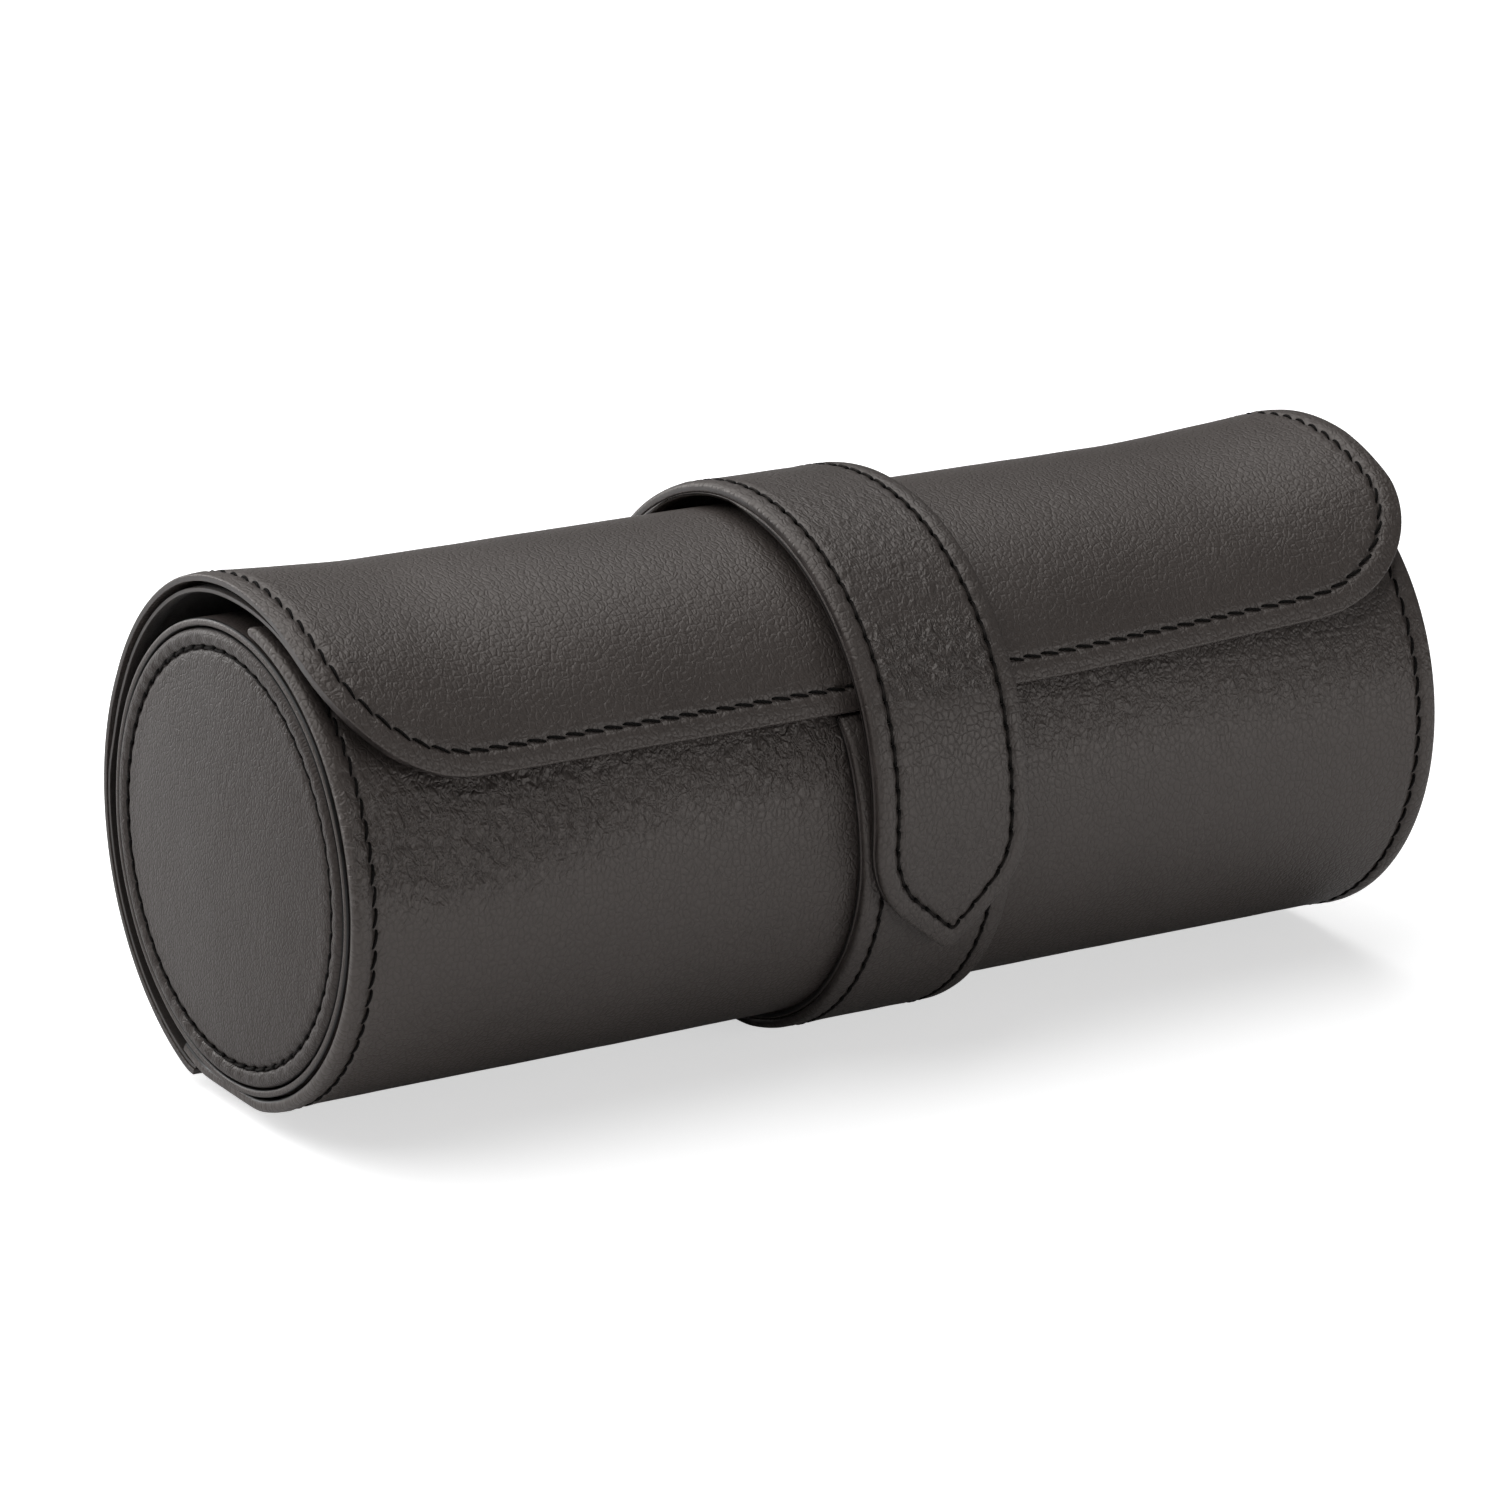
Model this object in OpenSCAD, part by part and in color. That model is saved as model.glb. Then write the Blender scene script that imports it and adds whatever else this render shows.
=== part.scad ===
// Leather watch roll for three watches, shown closed and lying on its strap.
// The roll lies along X with its front towards -Y. The origin is on the surface that it lies
// on, midway along the roll. Angles round the roll are counted in degrees from +Y (the rear)
// over +Z (the top), so the front is at 180 and the bottom at -90 or 270.

/* [Roll] */
// Length of the flap and of the front panel
roll_len = 209; // [170:1:300]
// Outer radius of the closed flap
flap_r = 42.6; // [38:0.1:56]
// Thickness of the flap's outer leather
flap_leather_t = 1.1; // [0.8:0.1:1.6]
// Thickness of the flap's suede lining
flap_lining_t = 0.8; // [0.5:0.1:1.2]
// Clearance between the flap and the panel it closes over
lay_gap = 0.3; // [0.2:0.05:0.6]
// Rise of the flap's side edges where the leather curls outward
flare_rise = 1.6; // [0.4:0.1:2.4]
// Length of that curl, along the roll
flare_len = 11; // [6:0.5:18]

/* [Panel] */
// Thickness of the front panel's leather
panel_leather_t = 1.3; // [1:0.1:2]
// Thickness of the stiffening board behind it
board_t = 0.9; // [0.6:0.1:1.6]
// Thickness of the suede that lines the trough
suede_t = 0.7; // [0.4:0.1:1.2]
// Angle of the panel's upper edge, under the flap
panel_top_deg = 99; // [98:1:116]
// Angle of the panel's rear edge, under the seam
panel_rear_deg = -68; // [-71:0.5:-62]
// Depth of the flat that the bottom is pressed to
flat_depth = 0.7; // [0.3:0.1:0.9]
// Angle by which the board stops short of the leather's long edges
board_inset_deg = 5; // [3:0.5:8]
// Distance by which the board stops short of the leather's ends
board_inset = 1; // [0:0.5:4]

/* [Flap] */
// Angle where the flap is sewn to the panel
seam_deg = -74; // [-75:0.5:-72]
// Angle of the flap's front edge
flap_edge_deg = 150.5; // [144:0.5:151]
// Radius of the flap's two front corners
flap_corner_r = 24; // [8:1:36]
// Depth to which the flap's seam corner is pressed flat
seam_flat = 2.1; // [2:0.1:2.2]
// Angle of the first fold line, low at the rear
first_fold_deg = -45; // [-50:1:-40]
// Angle from one fold line to the next
fold_step_deg = 49; // [48:0.5:50]
// Clearance between the faces that meet at a fold line
fold_gap = 0.3; // [0.2:0.05:0.6]

/* [Ends] */
// Thickness of the band round each end
band_t = 1.3; // [1:0.1:2]
// Length of the band, along the roll
band_len = 12; // [8:0.5:20]
// Clearance between the band and the disc in it
disc_gap = 0.2; // [0.1:0.05:0.4]
// Distance that the disc's rim stands out past the flap's end
disc_proud = 0.5; // [0:0.1:1.5]
// Distance that the band stands out past the flap's end
band_proud = 0.2; // [0:0.1:0.4]
// Thickness of the leather on the disc
disc_leather_t = 1.1; // [0.8:0.1:1.6]
// Thickness of the disc's board
disc_board_t = 2; // [1.2:0.1:3]
// Thickness of the suede on the inner side of the disc
disc_suede_t = 0.6; // [0.4:0.1:1]
// Height of the padded dome in the middle of the disc
dome_rise = 1.6; // [0.6:0.1:2.4]
// Width of the raised bead outside the disc's stitching
bead_w = 3.2; // [2:0.1:5]
// Height of the bead over the stitched groove
bead_rise = 0.5; // [0.2:0.05:0.8]

/* [Strap] */
// Width of the strap
strap_w = 29.2; // [20:0.2:40]
// Place of the strap's middle, along the roll
strap_x = 2.2; // [-12:0.1:12]
// Thickness of the strap's leather
strap_leather_t = 1.6; // [1.2:0.1:2]
// Thickness of the strap's backing
strap_lining_t = 1.2; // [0.8:0.1:1.4]
// Clearance between the strap and the flap under it
strap_gap = 0.4; // [0.2:0.05:0.8]
// Depth to which the strap is pressed flat under the roll
strap_press = 0.5; // [0.4:0.05:0.6]
// Clearance between the strap and the flap's seam corner
strap_seam_gap = 0.1; // [0.05:0.05:0.2]
// Angle of the lower strap's end, just below the flap's edge and mostly under the tab
strap_end_deg = 152.5; // [152:0.5:160]
// Forward shift of the strap's front, which lets the tab clear the lower strap
front_shift = 0.6; // [0.4:0.05:1]
// Angle of the fold at the root of the tab
tab_deg = 152; // [151.5:0.1:155]
// Angle of the tab's point
tab_tip_deg = 208; // [198:0.5:215]
// Angle between the tab's centre line and each side of its point
tip_slope_deg = 43; // [30:1:50]
// Shift of the tab's point along the roll, from the strap's middle
tip_shift = 3.1; // [-4:0.1:4]
// Radius of the tab's shoulders
shoulder_r = 18; // [4:0.5:20]
// Radius of the tab's point
tip_r = 1.6; // [0.6:0.1:3]

/* [Closure] */
// Diameter of each hidden magnet
magnet_d = 12; // [8:0.5:13]
// Thickness of each hidden magnet
magnet_t = 1.2; // [0.8:0.1:1.3]
// Angle of the two magnets round the roll
magnet_deg = 184; // [178:1:190]
// Clearance round each magnet in its pocket
magnet_gap = 0.1; // [0.05:0.05:0.2]

/* [Inside] */
// Thickness of each padded divider
divider_t = 3; // [2:0.1:5]
// Thickness of the suede on a divider
divider_suede_t = 0.7; // [0.4:0.1:0.9]
// Distance from the roll's axis to the divider's straight edge
divider_edge = 26; // [18:0.5:30]
// Clearance between the divider and the lining
divider_gap = 0.15; // [0.1:0.05:0.4]
// Room left for the watch at each end of a pillow
pillow_end_room = 4.5; // [2:0.5:8]
// Room left beside a pillow, on each side
pillow_side_room = 6.5; // [5:0.5:10]
// Room left over a pillow when it is centred
pillow_over_room = 9.5; // [8:0.5:14]
// Clearance where a pillow lies against the lining
pillow_seat_gap = 0.2; // [0.1:0.05:0.4]
// Angle at which the pillows lie against the lining
pillow_seat_deg = 230; // [215:1:245]
// Thickness of a pillow's padded cover over its foam core
pillow_cover_t = 4; // [3:0.5:6]

/* [Hidden] */

$fn = 96;

leather_colour = [0.16, 0.15, 0.145];
edge_colour = [0.11, 0.095, 0.09];
suede_colour = [0.2, 0.19, 0.18];
board_colour = [0.62, 0.54, 0.42];
foam_colour = [0.86, 0.84, 0.78];
magnet_colour = [0.72, 0.73, 0.75];

half_len = roll_len / 2;
left = -1;
right = 1;

// Radii of the layers, from the outside inward
flap_mid_r = flap_r - flap_leather_t;
flap_in_r = flap_mid_r - flap_lining_t;
panel_r = flap_in_r - lay_gap;
board_r = panel_r - panel_leather_t;
band_r = board_r - board_t;
trough_r = band_r - suede_t;
disc_r = band_r - band_t - disc_gap;

// Layers of the strap where it lies on the flap, and of the lower strap on the panel
strap_in_r = flap_r + strap_gap;
strap_mid_r = strap_in_r + strap_lining_t;
strap_out_r = strap_mid_r + strap_leather_t;
lower_mid_r = panel_r + strap_lining_t;
lower_out_r = lower_mid_r + strap_leather_t;

// Distances from the roll's axis down to the flats of the panel, the seam and the strap
panel_flat = panel_r - flat_depth;
seam_flat_z = flap_r - seam_flat;
axis_h = lower_out_r - strap_press;
strap_flat_mid = axis_h - strap_leather_t;

// Half size of the blocks and sectors that cut sections, larger than any section
reach = 2 * strap_out_r;

// Fold lines of the flap: the last entry is the flap's front edge
fold_deg = [for (i = [0 : 3]) first_fold_deg + i * fold_step_deg];
rear = 0;
shoulder = 1;
top = 2;
front = 3;

// Inside of the case along the roll
disc_stack = disc_leather_t + disc_board_t + disc_suede_t;
disc_rim_x = half_len + disc_proud;
inside_half = disc_rim_x - bead_rise - disc_stack;
bay_len = (2 * inside_half - 2 * divider_t) / 3;
bay_pitch = bay_len + divider_t;
bay_middle = 0;

// Pillow, half sizes
pillow_half_len = bay_len / 2 - pillow_end_room;
pillow_half_wide = trough_r - pillow_side_room;
pillow_half_deep = trough_r - pillow_over_room;
pillow_drop = trough_r - pillow_seat_gap - pillow_half_deep;
pillow_power = 5;
pillow_rings = 10;
pillow_sides = 24;

// Size of a pillow's straight-sided core against the same section inside its cover
core_scale = 0.86;

opening_mid_deg = (panel_top_deg + panel_rear_deg) / 2;

// Turns a shape drawn round Z so that its axis is the roll's axis
module along_roll() {
    translate([0, 0, axis_h]) rotate([90, 0, 90]) children();
}

// Sweeps a radius-and-length outline round the roll between two angles
module sweep(from_deg, to_deg) {
    along_roll()
        rotate([0, 0, from_deg])
        rotate_extrude(angle = to_deg - from_deg)
        children();
}

// Pushes an outline of length and arc straight towards the roll's axis at one angle
module stamp(view_deg, near, far) {
    translate([0, 0, axis_h])
        rotate([view_deg + 90, 0, 0])
        translate([0, 0, -far])
        linear_extrude(far - near)
        children();
}

// Flat sector from the axis outward, between two angles
module sector(from_deg, to_deg) {
    steps = ceil((to_deg - from_deg) / 40);
    polygon(concat([[0, 0]], [
        for (i = [0 : steps])
            let (a = from_deg + (to_deg - from_deg) * i / steps)
            reach * [cos(a), sin(a)]
    ]));
}

// Round section with its bottom pressed flat at a distance below the axis
module flat_round(r, flat) {
    intersection() {
        circle(r);
        translate([-reach, -flat]) square([2 * reach, flat + reach]);
    }
}

// Section inside one face of the lower strap: tight on the panel in front, over the flap behind
module belt_section(front_r, rear_r, flat) {
    intersection() {
        union() {
            intersection() {
                circle(front_r);
                translate([-reach, -reach]) square([reach, 2 * reach]);
            }
            intersection() {
                circle(rear_r);
                translate([0, -reach]) square([reach, 2 * reach]);
            }
        }
        translate([-reach, -flat]) square([2 * reach, flat + reach]);
    }
}

// Arc that rounds the corner at b of the path a, b, c
function corner(a, b, c, r, steps) =
    let (
        u = (a - b) / norm(a - b),
        v = (c - b) / norm(c - b),
        half = acos(u * v) / 2,
        start = b + u * r / tan(half),
        end = b + v * r / tan(half),
        centre = b + (u + v) / norm(u + v) * r / sin(half),
        from = atan2(start.y - centre.y, start.x - centre.x),
        turn = atan2(end.y - centre.y, end.x - centre.x) - from,
        arc = turn > 180 ? turn - 360 : turn < -180 ? turn + 360 : turn
    )
    [for (i = [0 : steps]) centre + r * [cos(from + arc * i / steps), sin(from + arc * i / steps)]];

// How far from the axis a stamped cut starts and ends, and how far back round the roll it goes
stamp_near = 5;
stamp_over = 5;
stamp_deg = 60;

// Steps in the arcs of the flap's corners, the tab's shoulders and its point
flap_corner_steps = 20;
shoulder_steps = 10;
tip_steps = 6;

// Lays an outline of length and arc on the roll and views it from the angle that arc 0 has
function seen(points, r) = [for (p = points) [p.x, r * sin(p.y / r * 180 / PI)]];

function arc_len(deg, r) = deg * PI / 180 * r;

// Outline, in radius and length, of one layer of the flap with its side edges curled outward
module flap_layer_outline(r_in, r_out) {
    knee = flare_len / 2;
    sag = flare_rise / 4;
    edge = [
        [half_len, flare_rise],
        [half_len - knee, sag],
        [half_len - flare_len, 0],
        [flare_len - half_len, 0],
        [knee - half_len, sag],
        [-half_len, flare_rise]
    ];
    polygon(concat(
        [for (p = edge) [r_out + p.y, p.x]],
        [for (i = [5 : -1 : 0]) [r_in + edge[i].y, edge[i].x]]
    ));
}

function fold_gap_deg(r) = fold_gap / 2 / r * 180 / PI;

// One segment of a flap layer, from its fold line to the next one or to the front edge
module flap_segment(i, r_in, r_out) {
    last_deg = i == front ? flap_edge_deg : fold_deg[i + 1] - fold_gap_deg(r_out);
    intersection() {
        sweep(fold_deg[i] + fold_gap_deg(r_out), last_deg) flap_layer_outline(r_in, r_out);
        if (i == front) flap_front_cut();
    }
}

// Volume that leaves the flap's front corners round
module flap_front_cut() {
    view_deg = (fold_deg[front] + flap_edge_deg) / 2;
    edge = arc_len(flap_edge_deg - view_deg, flap_r);
    back = -arc_len(stamp_deg, flap_r);
    side = half_len;
    outline = concat(
        [[-side, back]],
        corner([-side, back], [-side, edge], [side, edge], flap_corner_r, flap_corner_steps),
        corner([-side, edge], [side, edge], [side, back], flap_corner_r, flap_corner_steps),
        [[side, back]]
    );
    stamp(view_deg, stamp_near, flap_r + stamp_over) polygon(seen(outline, flap_r));
}

// The part of a flap layer that is sewn to the panel and stays with the case
module flap_seam_part(r_in, r_out) {
    intersection() {
        sweep(seam_deg, fold_deg[rear] - fold_gap_deg(r_out)) flap_layer_outline(r_in, r_out);
        translate([-half_len - 1, 0, axis_h - seam_flat_z]) cube([roll_len + 2, reach, reach]);
    }
}

// One layer of the front and bottom panel
module panel_layer(r_out, r_in, flat, from_deg, to_deg, long) {
    along_roll() translate([0, 0, -long / 2]) linear_extrude(long) difference() {
        intersection() {
            flat_round(r_out, flat);
            sector(from_deg, to_deg);
        }
        circle(r_in);
    }
}

module panel_leather() {
    color(leather_colour)
        panel_layer(panel_r, board_r, panel_flat, panel_top_deg, panel_rear_deg + 360, roll_len);
}

module panel_board() {
    from_deg = panel_top_deg + board_inset_deg;
    to_deg = panel_rear_deg + 360 - board_inset_deg;
    long = roll_len - 2 * board_inset;
    color(board_colour) panel_layer(board_r, band_r, reach, from_deg, to_deg, long);
}

module panel_lining() {
    long = 2 * (half_len - band_len);
    color(suede_colour)
        panel_layer(band_r, trough_r, reach, panel_top_deg, panel_rear_deg + 360, long);
}

module rim_band(side) {
    inner = half_len + band_proud - band_len;
    color(edge_colour) along_roll() translate([0, 0, side < 0 ? -inner - band_len : inner])
        difference() {
            cylinder(h = band_len, r = band_r);
            translate([0, 0, -1]) cylinder(h = band_len + 2, r = band_r - band_t);
        }
}

// Puts a shape drawn outward along +Z at the end disc of one side
module at_disc(side) {
    along_roll() mirror([0, 0, side < 0 ? 1 : 0]) translate([0, 0, disc_rim_x]) children();
}

groove_r = disc_r - bead_w;
dome_steps = 8;

// Height of the disc's leather face over its rim, inside the stitched groove
function dome_z(r) = -bead_rise + (dome_rise + bead_rise) * (1 - pow(r / groove_r, 2));

// Section of the end disc's leather from the axis to its turned edge
module disc_leather_outline() {
    bead_mid = disc_r - bead_w / 2;
    face = concat(
        [for (i = [0 : dome_steps]) [groove_r * i / dome_steps, dome_z(groove_r * i / dome_steps)]],
        [[bead_mid - bead_w / 4, -bead_rise / 4], [bead_mid + bead_w / 8, 0], [disc_r, -bead_rise]]
    );
    back = -bead_rise - disc_leather_t;
    floor_z = back - disc_board_t;
    polygon(concat(
        face,
        [[disc_r, floor_z], [disc_r - disc_leather_t, floor_z], [disc_r - disc_leather_t, back]],
        [for (i = [dome_steps : -1 : 0])
            [groove_r * i / dome_steps, dome_z(groove_r * i / dome_steps) - disc_leather_t]]
    ));
}

module end_leather(side) {
    color(leather_colour) at_disc(side) rotate_extrude() disc_leather_outline();
}

module end_pad(side) {
    back = -bead_rise - disc_leather_t;
    color(foam_colour) at_disc(side) rotate_extrude() polygon(concat(
        [[0, back]],
        [for (i = [dome_steps : -1 : 0])
            [groove_r * i / dome_steps, dome_z(groove_r * i / dome_steps) - disc_leather_t]]
    ));
}

module end_board(side) {
    color(board_colour) at_disc(side)
        translate([0, 0, -bead_rise - disc_leather_t - disc_board_t])
        cylinder(h = disc_board_t, r = disc_r - disc_leather_t);
}

module end_lining(side) {
    color(suede_colour) at_disc(side)
        translate([0, 0, -bead_rise - disc_stack])
        cylinder(h = disc_suede_t, r = disc_r);
}

// Outline of a divider: round in the trough, straight towards the opening
module divider_outline(inset) {
    edge = divider_edge - inset;
    intersection() {
        circle(trough_r - divider_gap - inset);
        rotate(opening_mid_deg) translate([-reach, -reach])
            square([reach + edge, 2 * reach]);
    }
}

module divider_solid(side, inset) {
    t = divider_t - 2 * inset;
    along_roll() translate([0, 0, side * bay_pitch / 2 - t / 2])
        linear_extrude(t) divider_outline(inset);
}

module divider_suede(side) {
    color(suede_colour) difference() {
        divider_solid(side, 0);
        divider_solid(side, divider_suede_t);
    }
}

module divider_board(side) {
    color(board_colour) divider_solid(side, divider_suede_t);
}

// Rings of a rounded cushion: crown is a ring's girth and stretch its place along the roll
function crown(angle) = pow(abs(cos(angle)), 2 / pillow_power);
function stretch(angle) = sign(angle) * pow(abs(sin(angle)), 2 / pillow_power);
function ring_deg(i) = -90 + 180 * (i + 0.5) / pillow_rings;

function pillow_points() = concat(
    [[0, 0, -pillow_half_len]],
    [for (i = [0 : pillow_rings - 1], k = [0 : pillow_sides - 1])
        let (a = ring_deg(i), b = 360 * k / pillow_sides)
        [pillow_half_deep * crown(a) * cos(b), pillow_half_wide * crown(a) * sin(b),
         pillow_half_len * stretch(a)]],
    [[0, 0, pillow_half_len]]
);

function pillow_faces() = let (n = pillow_sides, last = pillow_rings * pillow_sides + 1) concat(
    [for (k = [0 : n - 1]) [0, 1 + k, 1 + (k + 1) % n]],
    [for (i = [0 : pillow_rings - 2], k = [0 : n - 1])
        let (a = 1 + i * n + k, b = 1 + i * n + (k + 1) % n) each [[a, a + n, b], [b, a + n, b + n]]],
    [for (k = [0 : n - 1])
        let (a = last - n + k, b = last - n + (k + 1) % n) [a, last, b]]
);

// Puts a shape at the pillow of one bay, with +X towards the lining that it lies on
module at_pillow(bay) {
    along_roll() translate([0, 0, bay * bay_pitch])
        rotate([0, 0, pillow_seat_deg]) translate([pillow_drop, 0, 0]) children();
}

module pillow_core_solid() {
    wide = pillow_half_wide - pillow_cover_t;
    deep = pillow_half_deep - pillow_cover_t;
    long = 2 * (pillow_half_len - pillow_cover_t);
    translate([0, 0, -long / 2]) linear_extrude(long)
        polygon([for (k = [0 : pillow_sides - 1])
            let (b = 360 * k / pillow_sides) core_scale * [deep * cos(b), wide * sin(b)]]);
}

module pillow_cover(bay) {
    color(suede_colour) at_pillow(bay) difference() {
        polyhedron(pillow_points(), pillow_faces());
        pillow_core_solid();
    }
}

module pillow_core(bay) {
    color(foam_colour) at_pillow(bay) pillow_core_solid();
}

seam_gap_deg = strap_seam_gap / flap_r * 180 / PI;

// One layer of the strap's lower part, as a section pushed across the strap's width
module strap_across() {
    along_roll() translate([0, 0, strap_x - strap_w / 2]) linear_extrude(strap_w) children();
}

module strap_lower_sector() {
    sector(strap_end_deg, fold_deg[rear] + 360 - fold_gap_deg(strap_out_r));
}

// Round disc or its pocket, square to the radius at the closure; grow is the room left round it
module magnet_solid(r_in, shift, grow) {
    translate([0, -shift, 0]) along_roll()
        rotate([0, 0, magnet_deg]) translate([r_in - grow, 0, strap_x]) rotate([0, 90, 0])
        cylinder(h = magnet_t + 2 * grow, r = magnet_d / 2 + grow);
}

lower_magnet_r = panel_r + (strap_lining_t + strap_leather_t - magnet_t) / 2;
tab_magnet_r = strap_in_r + (strap_lining_t + strap_leather_t - magnet_t) / 2;

module strap_leather_lower() {
    color(leather_colour) difference() {
        strap_across() difference() {
            intersection() {
                belt_section(lower_out_r, strap_out_r, axis_h);
                strap_lower_sector();
            }
            belt_section(lower_mid_r, strap_mid_r, strap_flat_mid);
        }
        magnet_solid(lower_magnet_r, 0, magnet_gap);
    }
}

module strap_lining_lower() {
    color(edge_colour) difference() {
        strap_across() difference() {
            intersection() {
                belt_section(lower_mid_r, strap_mid_r, strap_flat_mid);
                strap_lower_sector();
            }
            flat_round(panel_r, panel_flat);
            intersection() {
                flat_round(strap_in_r, seam_flat_z + strap_seam_gap);
                sector(seam_deg - seam_gap_deg, fold_deg[rear] + 1);
            }
        }
        magnet_solid(lower_magnet_r, 0, magnet_gap);
    }
}

module strap_magnet() {
    color(magnet_colour) magnet_solid(lower_magnet_r, 0, 0);
}

// One layer of the strap between two angles; the front part is shifted forward
module strap_arc(r_in, r_out, from_deg, to_deg, shift) {
    translate([0, -shift, 0]) sweep(from_deg, to_deg)
        translate([r_in, strap_x - strap_w / 2]) square([r_out - r_in, strap_w]);
}

module strap_segment(i, r_in, r_out) {
    last_deg = i == front ? tab_deg : fold_deg[i + 1];
    shift = i == front ? front_shift : 0;
    gap = fold_gap_deg(r_out);
    strap_arc(r_in, r_out, fold_deg[i] + gap, last_deg - gap, shift);
}

// Volume that gives the tab its point
module tab_cut() {
    view_deg = (tab_deg + tab_tip_deg) / 2;
    tip = arc_len(tab_tip_deg - view_deg, strap_out_r);
    root = -arc_len(stamp_deg, strap_out_r);
    tip_x = strap_x + tip_shift;
    lean_deg = atan2(tip_shift, tip);
    left_x = strap_x - strap_w / 2;
    right_x = strap_x + strap_w / 2;
    left_y = tip - (tip_x - left_x) / tan(tip_slope_deg + lean_deg);
    right_y = tip - (right_x - tip_x) / tan(tip_slope_deg - lean_deg);
    outline = concat(
        [[left_x, root]],
        corner([left_x, root], [left_x, left_y], [tip_x, tip], shoulder_r, shoulder_steps),
        corner([left_x, left_y], [tip_x, tip], [right_x, right_y], tip_r, tip_steps),
        corner([tip_x, tip], [right_x, right_y], [right_x, root], shoulder_r, shoulder_steps),
        [[right_x, root]]
    );
    translate([0, -front_shift, 0])
        stamp(view_deg, stamp_near, strap_out_r + stamp_over) polygon(seen(outline, strap_out_r));
}

module tab_layer(r_in, r_out) {
    difference() {
        intersection() {
            strap_arc(r_in, r_out, tab_deg + fold_gap_deg(r_out), tab_tip_deg + 2, front_shift);
            tab_cut();
        }
        magnet_solid(tab_magnet_r, front_shift, magnet_gap);
    }
}

module flap_leather(i) {
    color(leather_colour) flap_segment(i, flap_mid_r, flap_r);
}

module flap_lining(i) {
    color(suede_colour) flap_segment(i, flap_in_r, flap_mid_r);
}

module flap_leather_seam() {
    color(leather_colour) flap_seam_part(flap_mid_r, flap_r);
}

module flap_lining_seam() {
    color(suede_colour) flap_seam_part(flap_in_r, flap_mid_r);
}

module strap_leather(i) {
    color(leather_colour) strap_segment(i, strap_mid_r, strap_out_r);
}

module strap_lining(i) {
    color(edge_colour) strap_segment(i, strap_in_r, strap_mid_r);
}

module tab_leather() {
    color(leather_colour) tab_layer(strap_mid_r, strap_out_r);
}

module tab_lining() {
    color(edge_colour) tab_layer(strap_in_r, strap_mid_r);
}

module tab_magnet() {
    color(magnet_colour) magnet_solid(tab_magnet_r, front_shift, 0);
}

panel_leather();
panel_board();
panel_lining();
flap_leather_seam();
flap_lining_seam();
rim_band(left);  // left_rim_band
rim_band(right);  // right_rim_band
end_leather(left);  // left_end_leather
end_leather(right);  // right_end_leather
end_pad(left);  // left_end_pad
end_pad(right);  // right_end_pad
end_board(left);  // left_end_board
end_board(right);  // right_end_board
end_lining(left);  // left_end_lining
end_lining(right);  // right_end_lining
divider_suede(left);  // left_divider_suede
divider_suede(right);  // right_divider_suede
divider_board(left);  // left_divider_board
divider_board(right);  // right_divider_board
pillow_cover(left);  // left_pillow_cover
pillow_cover(bay_middle);  // middle_pillow_cover
pillow_cover(right);  // right_pillow_cover
pillow_core(left);  // left_pillow_core
pillow_core(bay_middle);  // middle_pillow_core
pillow_core(right);  // right_pillow_core
strap_leather_lower();
strap_lining_lower();
strap_magnet();
flap_leather(rear);  // flap_leather_rear
flap_leather(shoulder);  // flap_leather_shoulder
flap_leather(top);  // flap_leather_top
flap_leather(front);  // flap_leather_front
flap_lining(rear);  // flap_lining_rear
flap_lining(shoulder);  // flap_lining_shoulder
flap_lining(top);  // flap_lining_top
flap_lining(front);  // flap_lining_front
strap_leather(rear);  // strap_leather_rear
strap_leather(shoulder);  // strap_leather_shoulder
strap_leather(top);  // strap_leather_top
strap_leather(front);  // strap_leather_front
strap_lining(rear);  // strap_lining_rear
strap_lining(shoulder);  // strap_lining_shoulder
strap_lining(top);  // strap_lining_top
strap_lining(front);  // strap_lining_front
tab_leather();
tab_lining();
tab_magnet();
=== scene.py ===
"""Looks of the leather watch roll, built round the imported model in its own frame."""
import math

import bmesh
import bpy
import numpy as np
from mathutils import Matrix, Vector


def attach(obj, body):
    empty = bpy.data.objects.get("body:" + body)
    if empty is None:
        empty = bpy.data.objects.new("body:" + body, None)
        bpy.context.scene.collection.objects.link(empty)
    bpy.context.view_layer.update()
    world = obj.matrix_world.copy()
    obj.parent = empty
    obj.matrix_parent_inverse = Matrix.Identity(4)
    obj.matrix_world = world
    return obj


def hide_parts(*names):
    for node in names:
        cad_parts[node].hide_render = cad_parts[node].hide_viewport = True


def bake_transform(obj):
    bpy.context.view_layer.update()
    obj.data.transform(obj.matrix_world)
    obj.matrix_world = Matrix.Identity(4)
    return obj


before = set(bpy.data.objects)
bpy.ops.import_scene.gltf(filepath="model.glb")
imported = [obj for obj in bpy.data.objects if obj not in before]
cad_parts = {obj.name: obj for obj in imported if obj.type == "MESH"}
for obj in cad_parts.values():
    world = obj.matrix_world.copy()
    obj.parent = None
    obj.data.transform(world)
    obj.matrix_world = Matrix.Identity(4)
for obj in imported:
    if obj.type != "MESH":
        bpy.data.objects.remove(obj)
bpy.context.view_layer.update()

# Sizes in millimetres and angles in degrees, as the part's source has them. Angles round the
# roll run from +Y (the rear, 0) over +Z (the top, 90) to the front (180) and the bottom (270).
AXIS_H = 42.7
HALF_LEN = 104.5
FLAP_R, FLAP_IN_R = 42.6, 40.7
SEAM_DEG, FLAP_EDGE_DEG = -74.0, 150.5
FLAP_CORNER_R = 24.0
SEAM_FLAT = 40.5
PANEL_R, PANEL_FLAT, PANEL_THICK = 40.4, 39.7, 2.15
PANEL_TOP_DEG, PANEL_REAR_DEG = 99.0, 292.0
OPENING_DEG = (PANEL_TOP_DEG + PANEL_REAR_DEG - 360) / 2
BAND_R, BAND_T, BAND_LEN, BAND_PROUD = 38.2, 1.3, 12.0, 0.2
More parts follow.
